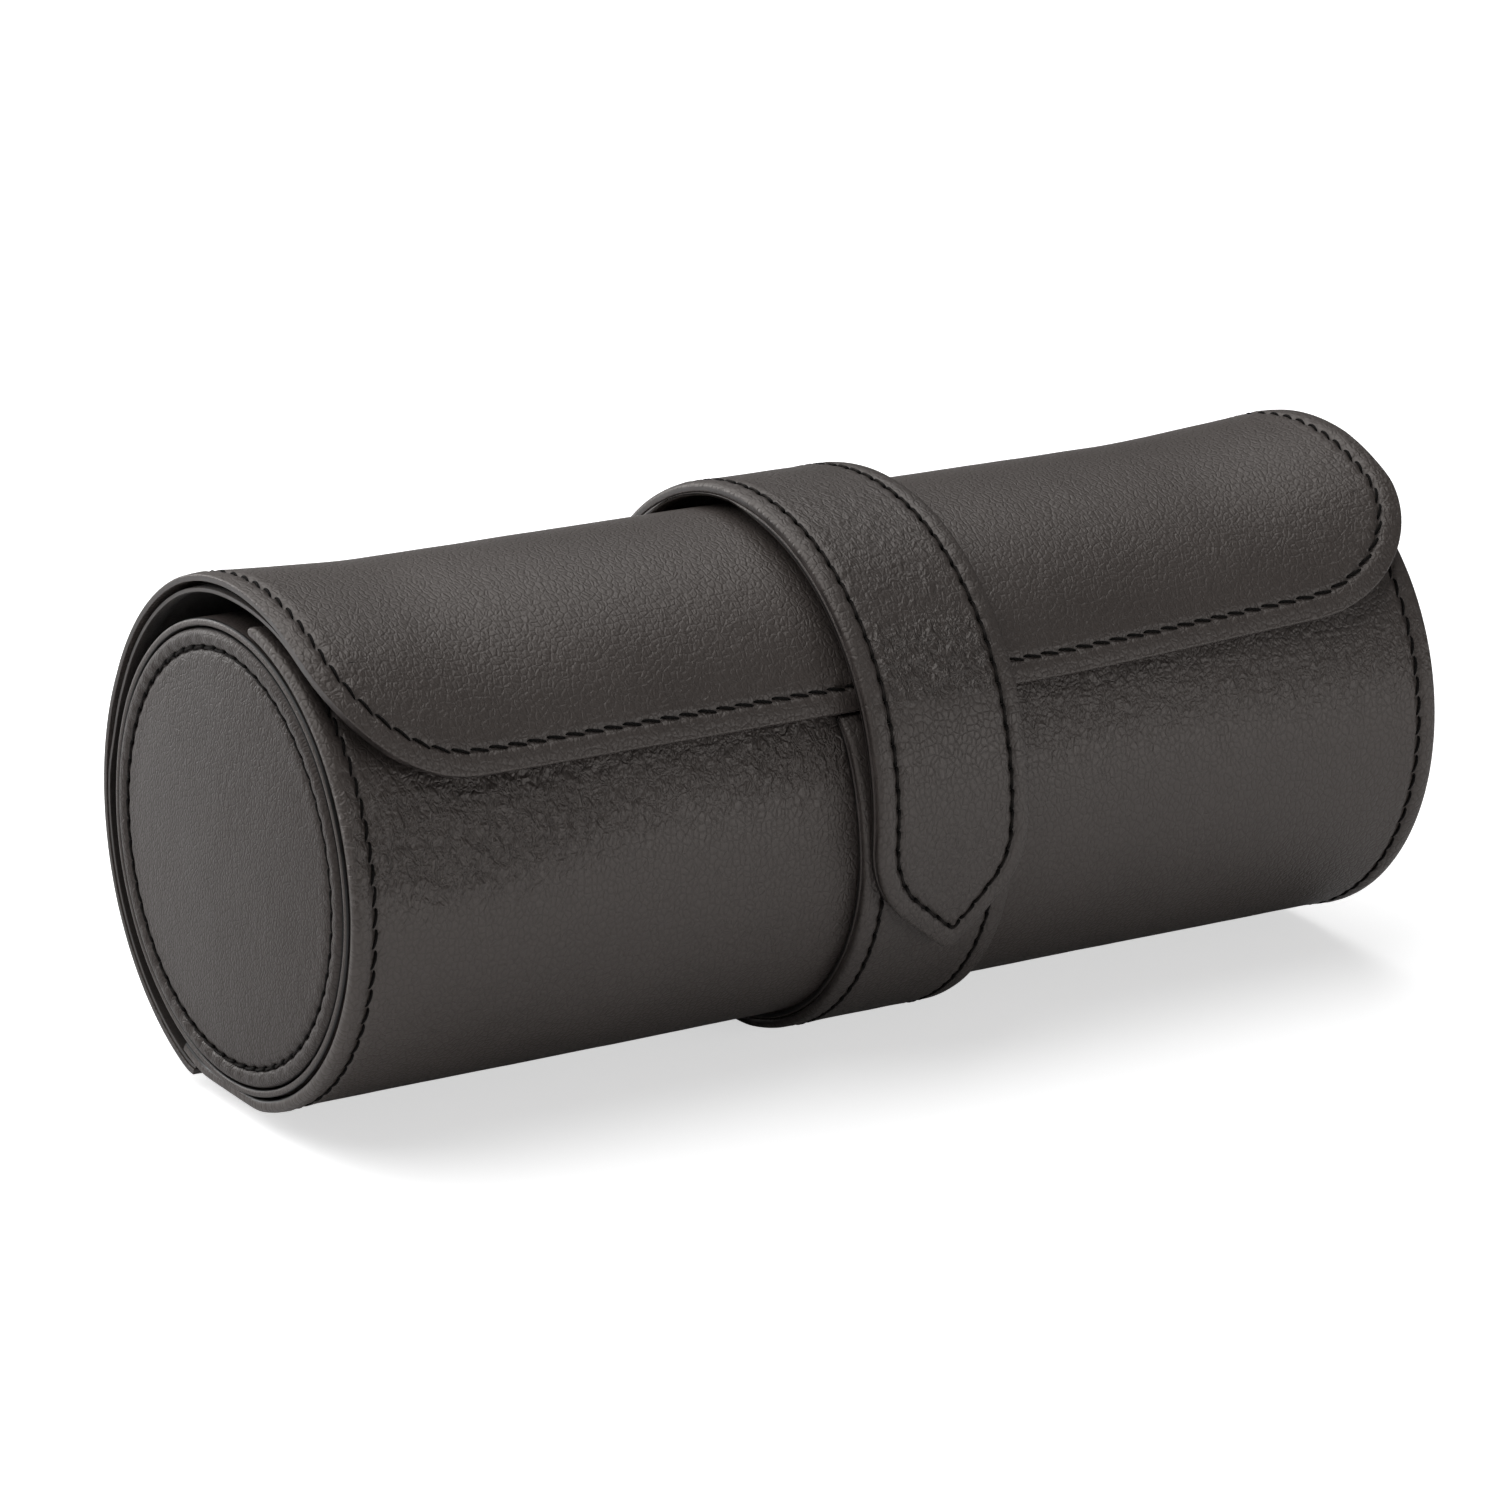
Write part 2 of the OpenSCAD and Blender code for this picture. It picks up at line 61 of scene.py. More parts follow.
TROUGH_R = 37.5
DISC_R, DISC_RIM_X, DISC_BACK = 36.7, 105.0, -3.6
GROOVE_R, DISC_PITCHES = 33.6, 61
STRAP_X, STRAP_W = 2.2, 29.2
STRAP_LEFT, STRAP_RIGHT = STRAP_X - STRAP_W / 2, STRAP_X + STRAP_W / 2
STRAP_IN_R, STRAP_OUT_R, LOWER_OUT_R = 43.0, 45.8, 43.2
FRONT_SHIFT = 0.6
TAB_DEG, TAB_TIP_DEG = 152.0, 208.0
TIP_SLOPE_DEG, TIP_SHIFT = 43.0, 3.1
SHOULDER_R, TIP_R = 18.0, 1.6
BAY_PITCH = 68.2
STITCH = 3.45
SEGMENTS = ["rear", "shoulder", "top", "front"]
ENDS = ((-1, "left"), (1, "right"))
# Farther in millimetres than anything on the roll
FAR = 1e3

# The flap's fold lines, how far the bend reaches to both sides of each, and what each joins
FOLD_DEG = [-45.0, 4.0, 53.0, 102.0]
BEND_DEG = [22.5, 24.0, 24.0, 21.0]


def pick(full):
    return full


def arc(deg, radius):
    return np.radians(deg) * radius


def smooth(t):
    t = np.clip(t, 0, 1)
    return t * t * (3 - 2 * t)


def bell(a, b=0.0):
    """1 where a and b are 0, and less the farther they are from it."""
    return np.exp(-(a**2 + b**2))


def polar(radius, deg):
    return radius * np.cos(np.radians(deg)), radius * np.sin(np.radians(deg))


def place(x, radius, deg, flat=None, shift=0.0):
    """Points in metres at a place along the roll, a distance from its axis and an angle. What would
    hang lower than flat under the axis is pressed up to it, and shift moves points to the front."""
    y, z = polar(radius, deg)
    y = y - shift
    if flat is not None:
        z = (z - flat + np.sqrt((z + flat) ** 2 + 0.09)) / 2
    x, y, z = np.broadcast_arrays(x, y, z + AXIS_H)
    return np.stack([x, y, z], -1) / 1000


def lattice(u, v, seed):
    """Smooth random values from 0 to 1 on a unit lattice."""
    table = np.random.default_rng(seed).random((128, 128))
    iu, iv = np.floor(u).astype(int), np.floor(v).astype(int)
    fu, fv = u - iu, v - iv
    fu, fv = fu * fu * (3 - 2 * fu), fv * fv * (3 - 2 * fv)
    a, b = table[iu % 128, iv % 128], table[(iu + 1) % 128, iv % 128]
    c, d = table[iu % 128, (iv + 1) % 128], table[(iu + 1) % 128, (iv + 1) % 128]
    return a + (b - a) * fu + (c - a) * fv + (a - b - c + d) * fu * fv


def cloudy(u, v, size, seed):
    """Three octaves of lattice noise from -1 to 1, the largest of that size in millimetres."""
    total = 0
    for i, share in enumerate((0.55, 0.3, 0.15)):
        scale = 2**i / size
        noise = lattice(u * scale + 7.3 * i, v * scale + 3.1 * i, seed + i)
        total = total + share * (2 * noise - 1)
    return total


def creased(u, v, size, seed):
    """Sharp valleys from 0 to 1 that wander over the leather."""
    bend = cloudy(u, v, 2.5 * size, seed + 9) * size
    n = 2 * lattice((u + bend) / size, (v + bend) / size, seed) - 1
    return (1 - np.minimum(1, np.abs(n) * 2.2)) ** 2


class Shape:
    """Collects the vertices of one piece, with their places on the flat leather, and its faces."""

    def __init__(self):
        self.points, self.flat, self.wear_and_highlight, self.count = [], [], [], 0
        self.faces, self.slots, self.soft, self.tags = [], [], [], []

    def add(self, points, u, v, wear_and_highlight=0.0):
        """Adds vertices and returns their numbers. u and v are their places on the flat leather,
        and the last value is how crumpled leather is there, or, on thread, how far a painted
        highlight lightens it."""
        shape = points.shape[:-1]
        self.points.append(points.reshape(-1, 3))
        flat = np.stack(np.broadcast_arrays(u, v), -1)
        self.flat.append(np.broadcast_to(flat, shape + (2,)).reshape(-1, 2))
        self.wear_and_highlight.append(np.broadcast_to(wear_and_highlight, shape).ravel())
        index = np.arange(self.count, self.count + points[..., 0].size).reshape(shape)
        self.count += index.size
        return index

    def emptied(self):
        """A shape with the same vertices and no faces yet, for a piece cut from this one."""
        part = Shape()
        part.points, part.flat, part.wear_and_highlight = self.points, self.flat, self.wear_and_highlight
        part.count = self.count
        return part

    def put(self, faces, slot=0, soft=True, tag=0):
        faces = np.atleast_2d(faces)
        n = len(faces)
        self.faces.append(faces)
        self.slots.append(np.broadcast_to(slot, n).astype(int))
        self.soft.append(np.full(n, soft))
        self.tags.append(np.broadcast_to(tag, n).astype(int))

    def grid(self, index, slot=0, around=False, tag=0):
        if around:
            index = np.concatenate([index, index[:, :1]], 1)
        quads = np.stack([index[:-1, :-1], index[1:, :-1], index[1:, 1:], index[:-1, 1:]], -1)
        slots, tags = (np.broadcast_to(a, quads.shape[:2]).ravel() for a in (slot, tag))
        self.put(quads.reshape(-1, 4), slots, True, tags)

    def cap(self, index, slot=0):
        """Closes a cut with a flat face, which build sets off with sharp edges."""
        self.put(index, slot, soft=False)

    def tube(self, loop, slots=0, cap_slot=0):
        """Closed loops, one after another, with a cap at both ends."""
        self.grid(loop, slots, around=True)
        self.cap(loop[0], cap_slot)
        self.cap(loop[-1], cap_slot)

    def directions(self):
        """The shading direction at each vertex of the whole shape, before it is cut into pieces."""
        points, total = np.concatenate(self.points), np.zeros((self.count, 3))
        for faces, soft in zip(self.faces, self.soft):
            faces = faces[soft]
            diagonal = points[faces[:, 2]] - points[faces[:, 0]]
            across = np.cross(diagonal, points[faces[:, -1]] - points[faces[:, 1]])
            for i in range(faces.shape[1]):
                np.add.at(total, faces[:, i], across)
        return total / np.maximum(np.linalg.norm(total, axis=1), 1e-12)[:, None]

    def build(self, name, materials, directions=None):
        """The mesh object. directions are the shading directions of all vertices, if given."""
        points, flat, wear_and_highlight = (np.concatenate(a) for a in (self.points, self.flat, self.wear_and_highlight))
        soft = np.concatenate(self.soft)
        corners = np.concatenate([f.ravel() for f in self.faces])
        sizes = np.concatenate([np.full(len(f), f.shape[1]) for f in self.faces])
        used, corners = np.unique(corners, return_inverse=True)
        mesh = bpy.data.meshes.new(name)
        mesh.vertices.add(len(used))
        mesh.vertices.foreach_set("co", points[used].astype(np.float32).ravel())
        mesh.loops.add(len(corners))
        mesh.loops.foreach_set("vertex_index", corners.astype(np.int32))
        mesh.polygons.add(len(sizes))
        mesh.polygons.foreach_set("loop_start", (np.cumsum(sizes) - sizes).astype(np.int32))
        mesh.update(calc_edges=True)
        mesh.polygons.foreach_set("material_index", np.concatenate(self.slots).astype(np.int32))
        mesh.polygons.foreach_set("use_smooth", soft)
        wear_and_highlight = wear_and_highlight[used][corners]
        layers = {"Flat": flat[used][corners] / 100, "Worn": np.stack([wear_and_highlight, 0 * wear_and_highlight], -1)}
        for layer, uv in layers.items():
            mesh.uv_layers.new(name=layer).uv.foreach_set("vector", uv.astype(np.float32).ravel())
        for material in materials:
            mesh.materials.append(material)
        work = bmesh.new()
        work.from_mesh(mesh)
        bmesh.ops.recalc_face_normals(work, faces=work.faces)
        for face in work.faces:
            if not face.smooth:
                for edge in face.edges:
                    edge.smooth = False
        work.to_mesh(mesh)
        work.free()
        if directions is not None:
            count = len(mesh.loops)
            vertex, normals = np.empty(count, np.int32), np.empty(3 * count, np.float32)
            mesh.loops.foreach_get("vertex_index", vertex)
            mesh.corner_normals.foreach_get("vector", normals)
            normals = normals.reshape(-1, 3)
            given = directions[used[vertex]]
            given *= np.where((given * normals).sum(1) < 0, -1, 1)[:, None]
            flat_face = np.repeat(~soft, sizes)
            given[flat_face] = normals[flat_face]
            mesh.normals_split_custom_set(given)
        piece = bpy.data.objects.new(name, mesh)
        bpy.context.scene.collection.objects.link(piece)
        return piece


class Seam:
    """A line of stitches: its path on the flat leather, and a hole at every pitch along it."""

    def __init__(self, path):
        self.path = np.array(path, float)
        steps = np.linalg.norm(np.diff(self.path, axis=0), axis=1)
        self.at = np.concatenate([[0], np.cumsum(steps)])
        self.count = round(self.at[-1] / STITCH)
        self.pitch = self.at[-1] / self.count

    def near(self, x, s):
        """How far points are from the seam, and where along it."""
        points = np.stack(np.broadcast_arrays(x, s), -1)
        gap = np.full(points.shape[:-1], np.inf)
        along = np.zeros(points.shape[:-1])
        for a, b, start in zip(self.path[:-1], self.path[1:], self.at[:-1]):
            run = b - a
            t = np.clip(((points - a) @ run) / (run @ run), 0, 1)
            off = points - a - t[..., None] * run
            here = np.hypot(off[..., 0], off[..., 1])
            along = np.where(here < gap, start + t * math.sqrt(run @ run), along)
            gap = np.minimum(gap, here)
        return gap, along

    def at_length(self, length):
        return np.stack([np.interp(length, self.at, self.path[:, i]) for i in (0, 1)], -1)

    def relief(self, x, s, depth=1.0):
        return sewn(*self.near(x, s), self.pitch, depth)


def rounded(edge, radius):
    """Fall of a surface near a rounded edge."""
    e = np.clip(radius - edge, 0, radius)
    return np.sqrt(radius * radius - e * e) - radius


def sewn(gap, along, pitch, depth=1.0):
    """Height of leather round a line of stitches: a groove, a dimple at each hole and puckers."""
    hole = (along / pitch - np.round(along / pitch)) * pitch
    h = -0.24 * bell(gap / 0.6)
    h -= 0.42 * bell(hole / 0.5, gap / 0.5)
    h += 0.09 * np.cos(2 * np.pi * (along / pitch - 0.5)) * bell((gap - 1.1) / 0.7)
    h += 0.07 * bell((gap - 1.7) / 0.9)
    return depth * h


def swollen(edge, margin, height):
    """The swell of leather between its edge and the stitches, a margin from it."""
    return height * np.sin(np.pi * np.clip(edge / margin, 0, 1)) ** 2


def corner(a, b, c, radius, steps):
    """Points of the arc that rounds the corner at b of the path a, b, c."""
    a, b, c = (np.array(p, float) for p in (a, b, c))
    u, v = (a - b) / np.linalg.norm(a - b), (c - b) / np.linalg.norm(c - b)
    half = math.acos(u @ v) / 2
    centre = b + (u + v) / np.linalg.norm(u + v) * radius / math.sin(half)
    reach = math.tan(half)
    first, last = b + u * radius / reach - centre, b + v * radius / reach - centre
    start = math.atan2(first[1], first[0])
    turn = (math.atan2(last[1], last[0]) - start + math.pi) % (2 * math.pi) - math.pi
    angles = start + turn * np.linspace(0, 1, steps + 1)
    return [centre + radius * np.array([math.cos(t), math.sin(t)]) for t in angles]


THREAD_R = 0.235
THREAD_T = np.linspace(0, 1, 9)
# A thread's depth at its holes, and its thickness from hole to hole: plain, and dotted, whose
# middle, lit by a painted highlight, is drawn in between two wide dark ends
PLAIN = (0.42, [0.6, 0.95, 1.05, 0.95, 0.6])
DOTTED = (0.2, [1.15, 1.35, 0.75, 1.35, 1.15])


def unit(vectors):
    return vectors / np.linalg.norm(vectors, axis=-1)[..., None]


def thread(seam, surface, groove=-0.12, chosen=None, slant=0.34, tone=0.1):
    """Threads of a seam's stitches. surface(x, s, h) gives points in metres on the leather, chosen
    picks stitches by their middles, and tone says how much lighter than at its holes a thread is
    painted between them: a painted highlight."""
    k = np.arange(seam.count)
    if chosen is not None:
        k = k[chosen(seam.at_length((k + 0.5) * seam.pitch))]
    if not len(k):
        return None
    dip, widths = PLAIN if tone < 0.4 else DOTTED
    length = (k[:, None] + 0.03 + 0.94 * THREAD_T) * seam.pitch
    run = unit(seam.at_length((k + 1) * seam.pitch) - seam.at_length(k * seam.pitch))
    side = np.stack([-run[:, 1], run[:, 0]], -1)
    off = (slant * (2 * THREAD_T - 1))[None, :, None]
    flat = seam.at_length(length) + side[:, None, :] * off
    bow = (dip + 0.14) * np.sin(np.pi * THREAD_T) ** 0.6
    h = np.broadcast_to(groove - dip + bow, flat.shape[:2])
    middle = surface(flat[..., 0], flat[..., 1], h)
    out = unit(surface(flat[..., 0], flat[..., 1], h + 0.2) - middle)
    ahead = unit(np.gradient(middle, axis=1))
    across = unit(np.cross(ahead, out))
    out = np.cross(across, ahead)
    turn = np.arange(8) * math.pi / 4
    width = THREAD_R / 1000 * np.interp(THREAD_T, [0, 0.12, 0.5, 0.88, 1], widths)
    ring = out[:, :, None, :] * np.cos(turn)[:, None] * 0.85
    ring = ring + across[:, :, None, :] * np.sin(turn)[:, None]
    points = middle[:, :, None, :] + ring * width[None, :, None, None]
    # Painted highlight: the thread is made lighter between its holes than at them.
    light = tone * np.sin(np.pi * THREAD_T)[None, :, None] ** 2
    shape = Shape()
    index = shape.add(points, length[:, :, None], turn * 0.3, light)
    wrap = np.concatenate([index, index[:, :, :1]], 2)
    quads = [wrap[:, :-1, :-1], wrap[:, 1:, :-1], wrap[:, 1:, 1:], wrap[:, :-1, 1:]]
    shape.put(np.stack(quads, -1).reshape(-1, 4))
    shape.put(index[:, 0, :])
    shape.put(index[:, -1, :])
    return shape


# ---- Materials ----


class Nodes:
    """Short calls that add nodes to a tree. A value that is a socket is linked, another is set."""

    def __init__(self, tree):
        self.tree = tree

    def set(self, socket, value):
        if isinstance(value, bpy.types.NodeSocket):
            self.tree.links.new(value, socket)
        else:
            socket.default_value = value

    def put(self, made, values):
        for key, value in values.items():
            if key in made.inputs:
                self.set(made.inputs[key], value)
            else:
                setattr(made, key, value)

    def add(self, kind, **values):
        made = self.tree.nodes.new("ShaderNode" + kind)
        self.put(made, values)
        return made

    def calc(self, operation, *values, kind="Math"):
        made = self.add(kind, operation=operation)
        for socket, value in zip(made.inputs, values):
            self.set(socket, value)
        return made.outputs[0]

    def off(self, value, centre):
        return self.calc("ABSOLUTE", self.calc("SUBTRACT", value, centre))

    def flat(self, stretch=(1, 1), wobble=0.0, wobble_mm=3.0):
        """Places on the flat leather, in tenths of a metre, stretched and bent by a soft noise."""
        at = self.add("UVMap", uv_map="Flat").outputs["UV"]
        if wobble:
            shift = (wobble / 50, wobble / 50, 0)
            soft = {"Vector": at, "Scale": 100 / wobble_mm, "Detail": 2.0}
            bend = self.add("TexNoise", noise_dimensions="2D", **soft).outputs["Color"]
            at = self.calc("MULTIPLY_ADD", bend, shift, at, kind="VectorMath")
        return self.calc("MULTIPLY", at, (*stretch, 1), kind="VectorMath")

    # The mesh's second map: crumpling on leather, and on thread a painted highlight.
    def wear_and_highlight(self):
        uv = self.add("UVMap", uv_map="Worn").outputs["UV"]
        return self.add("SeparateXYZ", Vector=uv).outputs["X"]

    def noise(self, at, size, **values):
        """Noise on the flat leather, of that size in millimetres."""
        values = {"Vector": at, "Scale": 100 / size, **values}
        return self.add("TexNoise", noise_dimensions="2D", **values).outputs["Fac"]

    def ranged(self, value, low, high, to_low=0.0, to_high=1.0):
        ends = {"From Min": low, "From Max": high, "To Min": to_low, "To Max": to_high}
        return self.add("MapRange", Value=value, **ends).outputs["Result"]

    def mix(self, factor, a, b):
        made = self.add("Mix", data_type="RGBA", Factor=factor, A=(*a, 1), B=(*b, 1))
        return made.outputs["Result"]

    def bump(self, height, strength, distance):
        made = self.add("Bump", Strength=strength, Distance=distance, Height=height)
        return made.outputs["Normal"]


class Surface(Nodes):
    """A material, with a shader whose sockets finish sets."""

    def __init__(self, name):
        self.made = bpy.data.materials.new(name)
        self.made.use_nodes = True
        super().__init__(self.made.node_tree)

    def finish(self, values):
        self.put(self.tree.nodes["Principled BSDF"], values)
        return self.made


def leather(name, dark, light, pebble=1.05, wrinkle=0.36, relief=0.1, grain=0.34, gloss=0.67):
    """Fine-grained leather: pebbles with creases between them, stretched wrinkles, pores and tone,
    and crumples where it is bent and rubbed. pebble and relief are in millimetres, and grain is how
    far the wrinkles are stretched round the roll."""
    m = Surface(name)
    at = m.flat((1.0, 0.8), 0.5)
    cells = {"voronoi_dimensions": "2D", "feature": "DISTANCE_TO_EDGE", "Scale": 100 / pebble}
    cells = m.add("TexVoronoi", **cells, Vector=at)
    pebbles = m.ranged(cells.outputs["Distance"], 0.0, 0.22)
    pores = m.ranged(m.noise(at, pebble * 0.45, Detail=1.0), 0.25, 0.75)
    folds = m.noise(m.flat((1.0, grain), 1.2, 6.0), 2.4, Detail=3.0, Roughness=0.55)
    wrinkles = m.ranged(m.off(folds, 0.5), 0.0, 0.11)
    patch = m.noise(m.flat(), 26, Detail=2.0)
    where = m.ranged(patch, 0.35, 0.65, 0.35, 1.0)
    mottle = {"Detail": 2.5, "Roughness": 0.6, "Distortion": 0.3}
    mottle = m.noise(m.flat((1.0, 0.75), 0.6, 4.0), 1.7, **mottle)
    wear_and_highlight = m.wear_and_highlight()
    crumple = m.calc("MULTIPLY", m.ranged(m.off(mottle, 0.42), 0.0, 0.3), wear_and_highlight)
    height = m.calc("MULTIPLY_ADD", pores, 0.22, m.calc("MULTIPLY", pebbles, 0.5))
    height = m.calc("MULTIPLY_ADD", m.calc("MULTIPLY", wrinkles, where), wrinkle, height)
    height = m.calc("MULTIPLY_ADD", crumple, 5.0, height)
    tone = m.calc("MULTIPLY_ADD", pebbles, 0.45, m.calc("MULTIPLY", patch, 0.6))
    dull = m.calc("MULTIPLY_ADD", pebbles, -0.5, m.calc("MULTIPLY_ADD", patch, 0.5, 0.5))
    dull = m.calc("MULTIPLY_ADD", wear_and_highlight, -0.35, dull)
    return m.finish({
        "Base Color": m.mix(tone, dark, light),
        "Roughness": m.ranged(dull, 0.0, 1.0, 0.4, 0.56),
        "Normal": m.bump(height, 1.0, relief / 1000),
        "Specular IOR Level": gloss,
        "Specular Tint": (1.0, 0.94, 0.905, 1),
    })


def suede(name, dark, light, nap=0.5, sheen=0.35):
    """Brushed suede: fine fibres over broad strokes, with the fibres' size in millimetres."""
    m = Surface(name)
    at = m.flat((1.0, 1.0), 0.3)
    fibres = m.noise(at, nap, Detail=4.0, Roughness=0.7)
    strokes = m.calc("MULTIPLY", m.noise(at, 14, Detail=3.0), 0.5)
    tone = m.ranged(m.calc("MULTIPLY_ADD", fibres, 0.5, strokes), 0.3, 0.7)
    return m.finish({
        "Base Color": m.mix(tone, dark, light),
        "Roughness": m.ranged(fibres, 0.3, 0.7, 0.82, 0.98),
        "Normal": m.bump(fibres, 0.8, 0.00012),
        "Specular IOR Level": 0.2,
        "Sheen Weight": sheen,
        "Sheen Roughness": 0.4,
    })


def edge_paint(name, dark, light):
    """Burnished and painted edge: smooth, with faint streaks along it."""
    m = Surface(name)
    streaks = m.noise(m.flat((0.25, 0.25)), 1.2, Detail=3.0)
    return m.finish({
        "Base Color": m.mix(m.ranged(streaks, 0.35, 0.7), dark, light),
        "Roughness": m.ranged(streaks, 0.3, 0.7, 0.34, 0.5),
        "Normal": m.bump(streaks, 0.5, 0.0001),
    })


def waxed_thread(name, dark, light):
    """Twisted black thread: fine diagonal strands."""
    m = Surface(name)
    turned = m.add("Mapping", Rotation=(0, 0, math.radians(38)), Vector=m.flat())
    strands = {"Scale": 100 / 1.6, "Distortion": 0.6, "Detail": 1.0}
    strands = m.add("TexWave", **strands, Vector=turned.outputs["Vector"]).outputs["Fac"]
    return m.finish({
        # Lighter between the holes: a painted highlight from the second map.
        "Base Color": m.mix(m.calc("MULTIPLY_ADD", strands, 0.2, m.wear_and_highlight()), dark, light),
        "Roughness": m.ranged(strands, 0.0, 1.0, 0.65, 0.8),
        "Normal": m.bump(strands, 0.6, 0.00008),
        "Specular IOR Level": 0.06,
    })


def plated(name, colour):
    """Plated metal with a faint haze."""
    m = Surface(name)
    at = m.add("TexCoord").outputs["Object"]
    haze = m.add("TexNoise", noise_dimensions="3D", Vector=at, Scale=700.0, Detail=2.0)
    haze = m.ranged(haze.outputs["Fac"], 0.3, 0.7, 0.18, 0.3)
    return m.finish({"Base Color": (*colour, 1), "Roughness": haze, "Metallic": 1})


SKIN = leather("roll_leather", (0.032, 0.0255, 0.0225), (0.055, 0.0455, 0.041))
STRAP_SKIN = leather("strap_leather", (0.029, 0.0235, 0.021), (0.052, 0.0432, 0.039), wrinkle=0.6)
DISC_SKIN = leather(
    "disc_leather", (0.027, 0.022, 0.02), (0.046, 0.038, 0.035),
    pebble=0.8, wrinkle=0.5, grain=0.45, gloss=0.32,
)
BACKING = leather(
    "backing_leather", (0.024, 0.0185, 0.0165), (0.043, 0.034, 0.0305),
    pebble=0.7, wrinkle=0.3, relief=0.06,
)
EDGE = edge_paint("painted_edge", (0.024, 0.0195, 0.018), (0.056, 0.046, 0.0425))
# Near-black edge: dyed dark edges, drawn as black as the shade in the gaps between layers, band and
# disc: painted shade.
EDGE_DYE_AND_PAINTED_SHADE = edge_paint("edge_dye_and_painted_shade", (0.003, 0.0025, 0.0025), (0.009, 0.0075, 0.007))
# Charcoal suede, kept this dark partly as painted shade, so the gaps where the lining shows look
# black.
LINING = suede("lining_suede", (0.018, 0.015, 0.0138), (0.045, 0.038, 0.035), sheen=0.06)
PILLOW = suede("pillow_suede", (0.055, 0.048, 0.044), (0.115, 0.101, 0.094), nap=0.6, sheen=0.25)
THREAD = waxed_thread("waxed_thread", (0.002, 0.002, 0.002), (0.03, 0.026, 0.024))
MAGNET = plated("plated_magnet", (0.7, 0.71, 0.73))




# ---- Riding, and hiding the model's parts ----


def dress(piece, slot, *nodes):
    if nodes:
        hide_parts(*nodes)


def on_case(piece, slot, *nodes):
    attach(piece, "case")
    dress(piece, slot, *nodes)


def move_with_flap(piece, i, radius):
    """Piece i of the flap or strap has its place baked into its mesh, and the last rides on the
    front.
    """
    if i < len(FOLD_DEG):
        start, end = (place(0, radius, FOLD_DEG[i] + side * BEND_DEG[i]) for side in (-1, 1))
        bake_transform(piece)
    else:
        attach(piece, "flap_front")


def stitches_between(cut_deg, radius):
    """For each piece between the cuts, the choice of the stitches that lie on it."""
    ends = [-FAR] + [arc(deg, radius) for deg in cut_deg] + [FAR]
    return [
        lambda at, low=low, high=high: (at[:, 1] >= low) & (at[:, 1] < high)
        for low, high in zip(ends[:-1], ends[1:])
    ]


# ---- The flap ----

FLAP_PIECES = ["seam"] + SEGMENTS
FLAP_S0, FLAP_S1 = arc(SEAM_DEG, FLAP_R), arc(FLAP_EDGE_DEG, FLAP_R)
FLAP_CUTS = [-20.5, 28.5, 77.5, 125.0]
FLAP_MARGIN, LINING_INSET = 4.0, 0.25
PLAIN_COLUMNS = 14
LEATHER_UNDER, LINING_OVER, LINING_UNDER = -1.1, -1.14, -1.95
LINING_DROOP = 0.95
EDGE_STEPS = [
    0, 0.04, 0.12, 0.22, 0.34, 0.7, 1.1, 1.6, 2.2, 2.8, 3.2, 3.5, 3.75, 4.0, 4.25, 4.5, 4.8, 5.3,
    5.9, 6.8, 8.0,
]
REAR_STEPS = [0, 0.06, 0.18, 0.36, 0.6, 1.1, 1.7, 2.2, 2.5, 2.75, 3.0, 3.25, 3.5, 3.9, 4.5, 5.2]


def flap_lift(x, deg):
    """How far the flap, which only lies over the roll, stands off its drawn place: it bulges over
    the top and its ends curl outwards, the right one farther."""
    left = np.interp(deg, [28, 48, 68, 102, 122, 138, 151], [0, 0.7, 1.4, 2.0, 2.6, 2.4, 1.6])
    right = np.interp(deg, [5, 68, 102, 122, 136, 151], [0, 1.4, 2.9, 3.0, 2.4, 1.6])
    ends = left * smooth((-x - 72) / 32.5) + right * smooth((x - 68) / 36.5) ** 1.2
    return ends + bell((deg - 70) / 42)


def flap_surface(x, s, h, droop=0.0):
    """The flap's surface. droop is how far the lining's ends hang under the leather's."""
    deg = np.degrees(s / FLAP_R)
    wave = 0.12 * cloudy(x, s, 38, 3) * smooth((np.abs(x) - 20) / 12)
    hang = droop * smooth((np.abs(x) - (HALF_LEN - 5)) / 4.5) * smooth(deg / 15)
    hang = hang * (1 - smooth((deg - 88) / 30))
    # The right front corner is pulled up a little and reaches past the panel
    skew = -2.2 * smooth((x - 22) / 80) * smooth((deg - 90) / 50)
    skew = skew + 0.25 * cloudy(x, s * 0, 60, 21) * smooth((deg - 110) / 40)
    reach = 1.8 * smooth((x - 66) / 38) * smooth((deg - 30) / 50)
    radius = FLAP_R + flap_lift(x, deg) + wave - hang
    return place(x + reach, radius + h, deg + np.degrees(skew / FLAP_R), SEAM_FLAT + h)


def flap_seam_path():
    r = FLAP_CORNER_R - FLAP_MARGIN
    side, front, start = HALF_LEN - FLAP_MARGIN, FLAP_S1 - FLAP_MARGIN, FLAP_S0 + 0.6
    left = corner((-side, start), (-side, front), (side, front), r, 18)
    right = corner((-side, front), (side, front), (side, start), r, 18)
    return [(-side, start), *left, *right, (side, start)]


FLAP_SEAM = Seam(flap_seam_path())
REAR_SEAM = Seam([(side * (HALF_LEN - FLAP_MARGIN), FLAP_S0 + 3.0) for side in (-1, 1)])


